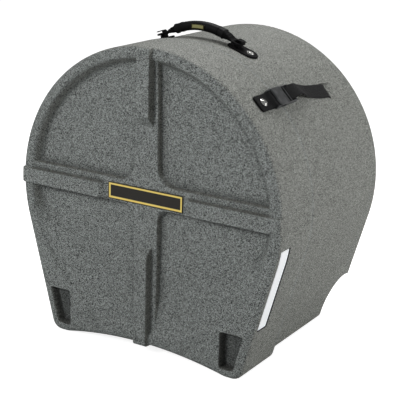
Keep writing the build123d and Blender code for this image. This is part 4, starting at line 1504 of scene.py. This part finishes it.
@dataclass
class Studio:
    """Pale floor, soft lamps and the camera at the photograph's angle. Lengths are in metres here."""

    position: tuple[float, float, float] = (1.3694, -2.2415, 1.1001)
    yaw: float = 0.551
    pitch: float = 0.294
    roll: float = 0.029
    lens: float = 104.4
    aim: float = 0.35
    floor_half: float = 20.0
    ambient: float = 0.24

    def camera(self) -> None:
        """Places the camera from its turn to the left, its tilt down and its roll."""
        data = bpy.data.cameras.new("camera")
        data.lens, data.sensor_width, data.sensor_fit = self.lens, 36.0, "HORIZONTAL"
        level = Vector((math.cos(self.yaw), math.sin(self.yaw), 0.0))
        ahead = Vector((-math.sin(self.yaw) * math.cos(self.pitch), math.cos(self.yaw) * math.cos(self.pitch),
                        -math.sin(self.pitch)))
        upright = level.cross(ahead)
        right = math.cos(self.roll) * level + math.sin(self.roll) * upright
        up = -math.sin(self.roll) * level + math.cos(self.roll) * upright
        matrix = Matrix((right, up, -ahead)).transposed().to_4x4()
        matrix.translation = self.position
        camera = bpy.data.objects.new("camera", data)
        camera.matrix_world = matrix
        bpy.context.scene.collection.objects.link(camera)
        bpy.context.scene.camera = camera

    def lamp(self, name: str, place: tuple[float, float, float], size: float, power: float) -> None:
        """Square soft lamp aimed at the middle of the case.

        Args:
            name: The lamp's name.
            place: Where it stands.
            size: Length of its sides.
            power: Its power in watts.
        """
        data = bpy.data.lights.new(name, "AREA")
        data.energy, data.size = power, size
        lamp = bpy.data.objects.new(name, data)
        lamp.location = place
        lamp.rotation_euler = (Vector((0.0, 0.0, self.aim)) - Vector(place)).to_track_quat("-Z", "Y").to_euler()
        bpy.context.scene.collection.objects.link(lamp)

    def floor(self) -> None:
        """Wide floor under the case."""
        far = self.floor_half
        mesh = bpy.data.meshes.new("floor")
        mesh.from_pydata([(-far, -far, 0), (far, -far, 0), (far, far, 0), (-far, far, 0)], [], [(0, 1, 2, 3)])
        floor = bpy.data.objects.new("floor", mesh)
        bpy.context.scene.collection.objects.link(floor)
        mesh.materials.append(WhiteFloor().material)

    def world(self) -> None:
        """White world, dim on the case and pure white to the camera."""
        world = bpy.data.worlds.new("studio")
        world.use_nodes = True
        bpy.context.scene.world = world
        nodes = NodeTree(world.node_tree)
        seen = nodes.node("ShaderNodeLightPath", {}, {}, "Is Camera Ray")
        strength = seen * (1.0 - self.ambient) + self.ambient
        nodes.set_inputs(nodes.tree.nodes["Background"], {"Color": (*grey(1.0), 1.0), "Strength": strength})

    def build(self) -> None:
        """Sets up camera, lamps, floor and world."""
        self.camera()
        self.lamp("top_lamp", (-0.6, 1.5, 3.4), 1.6, 65.0)
        self.lamp("side_lamp", (3.4, 1.7, 1.4), 1.6, 66.0)
        self.lamp("front_lamp", (-0.9, -3.4, 2.15), 0.7, 54.0)
        self.floor()
        self.world()
        bpy.context.scene.view_settings.view_transform = "Standard"


# ---------------------------------------------------------------- the whole case


def dress_nodes(finishes: dict[str, Finish]) -> None:
    """Gives every CAD node its material, also those that a finer piece replaces.

    Args:
        finishes: Finish by a word of the node's name; the first word that fits counts.
    """
    for name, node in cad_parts.items():
        finish = next(finish for word, finish in finishes.items() if word in name)
        node.data.materials.clear()
        node.data.materials.append(finish.material)


def main() -> None:
    """Builds the case round the frame."""
    logging.basicConfig(level=logging.INFO)
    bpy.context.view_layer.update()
    Studio().build()
    granite, webbing, tab, rubber = GraniteShell(), Webbing(), TabWebbing(), BlackRubber()
    plastic, handle_plastic, nickel, washer = BlackPlastic(), HandlePlastic(), BrightSteel(), BlackWasher()
    gold, badge, panel, foam = GoldPlate(), BadgeFace(), PanelFace(), Foam()
    dress_nodes({"shell": granite, "strap_stop": nickel, "strap": webbing, "tab_rivets": nickel,
                 "handle_rivets": nickel, "cup": nickel, "backing": washer, "buckle": plastic,
                 "handle_plate": handle_plastic, "handle_core": handle_plastic, "front_badge": badge,
                 "grip_badge": gold, "panel": panel, "foam": foam, "liner": foam, "grip": rubber, "anchor": tab})
    inner = Outline(radius=335.5, floor=17.5, rise=10.4, corner=23.5)
    shell = MouldedShell(Outline(), inner, Relief(), face_y=-248.2, open_y=-103.2, back_y=-221.9)
    make_piece("lid_moulding", shell.surface(), granite, "lid", ("lid_shell",))
    for side in Side:
        Strap().build(side, webbing, tab)
    Handle().build(rubber, handle_plastic)
    FoamLining(WheelArch()).build(foam)


if __name__ == "__main__":
    main()
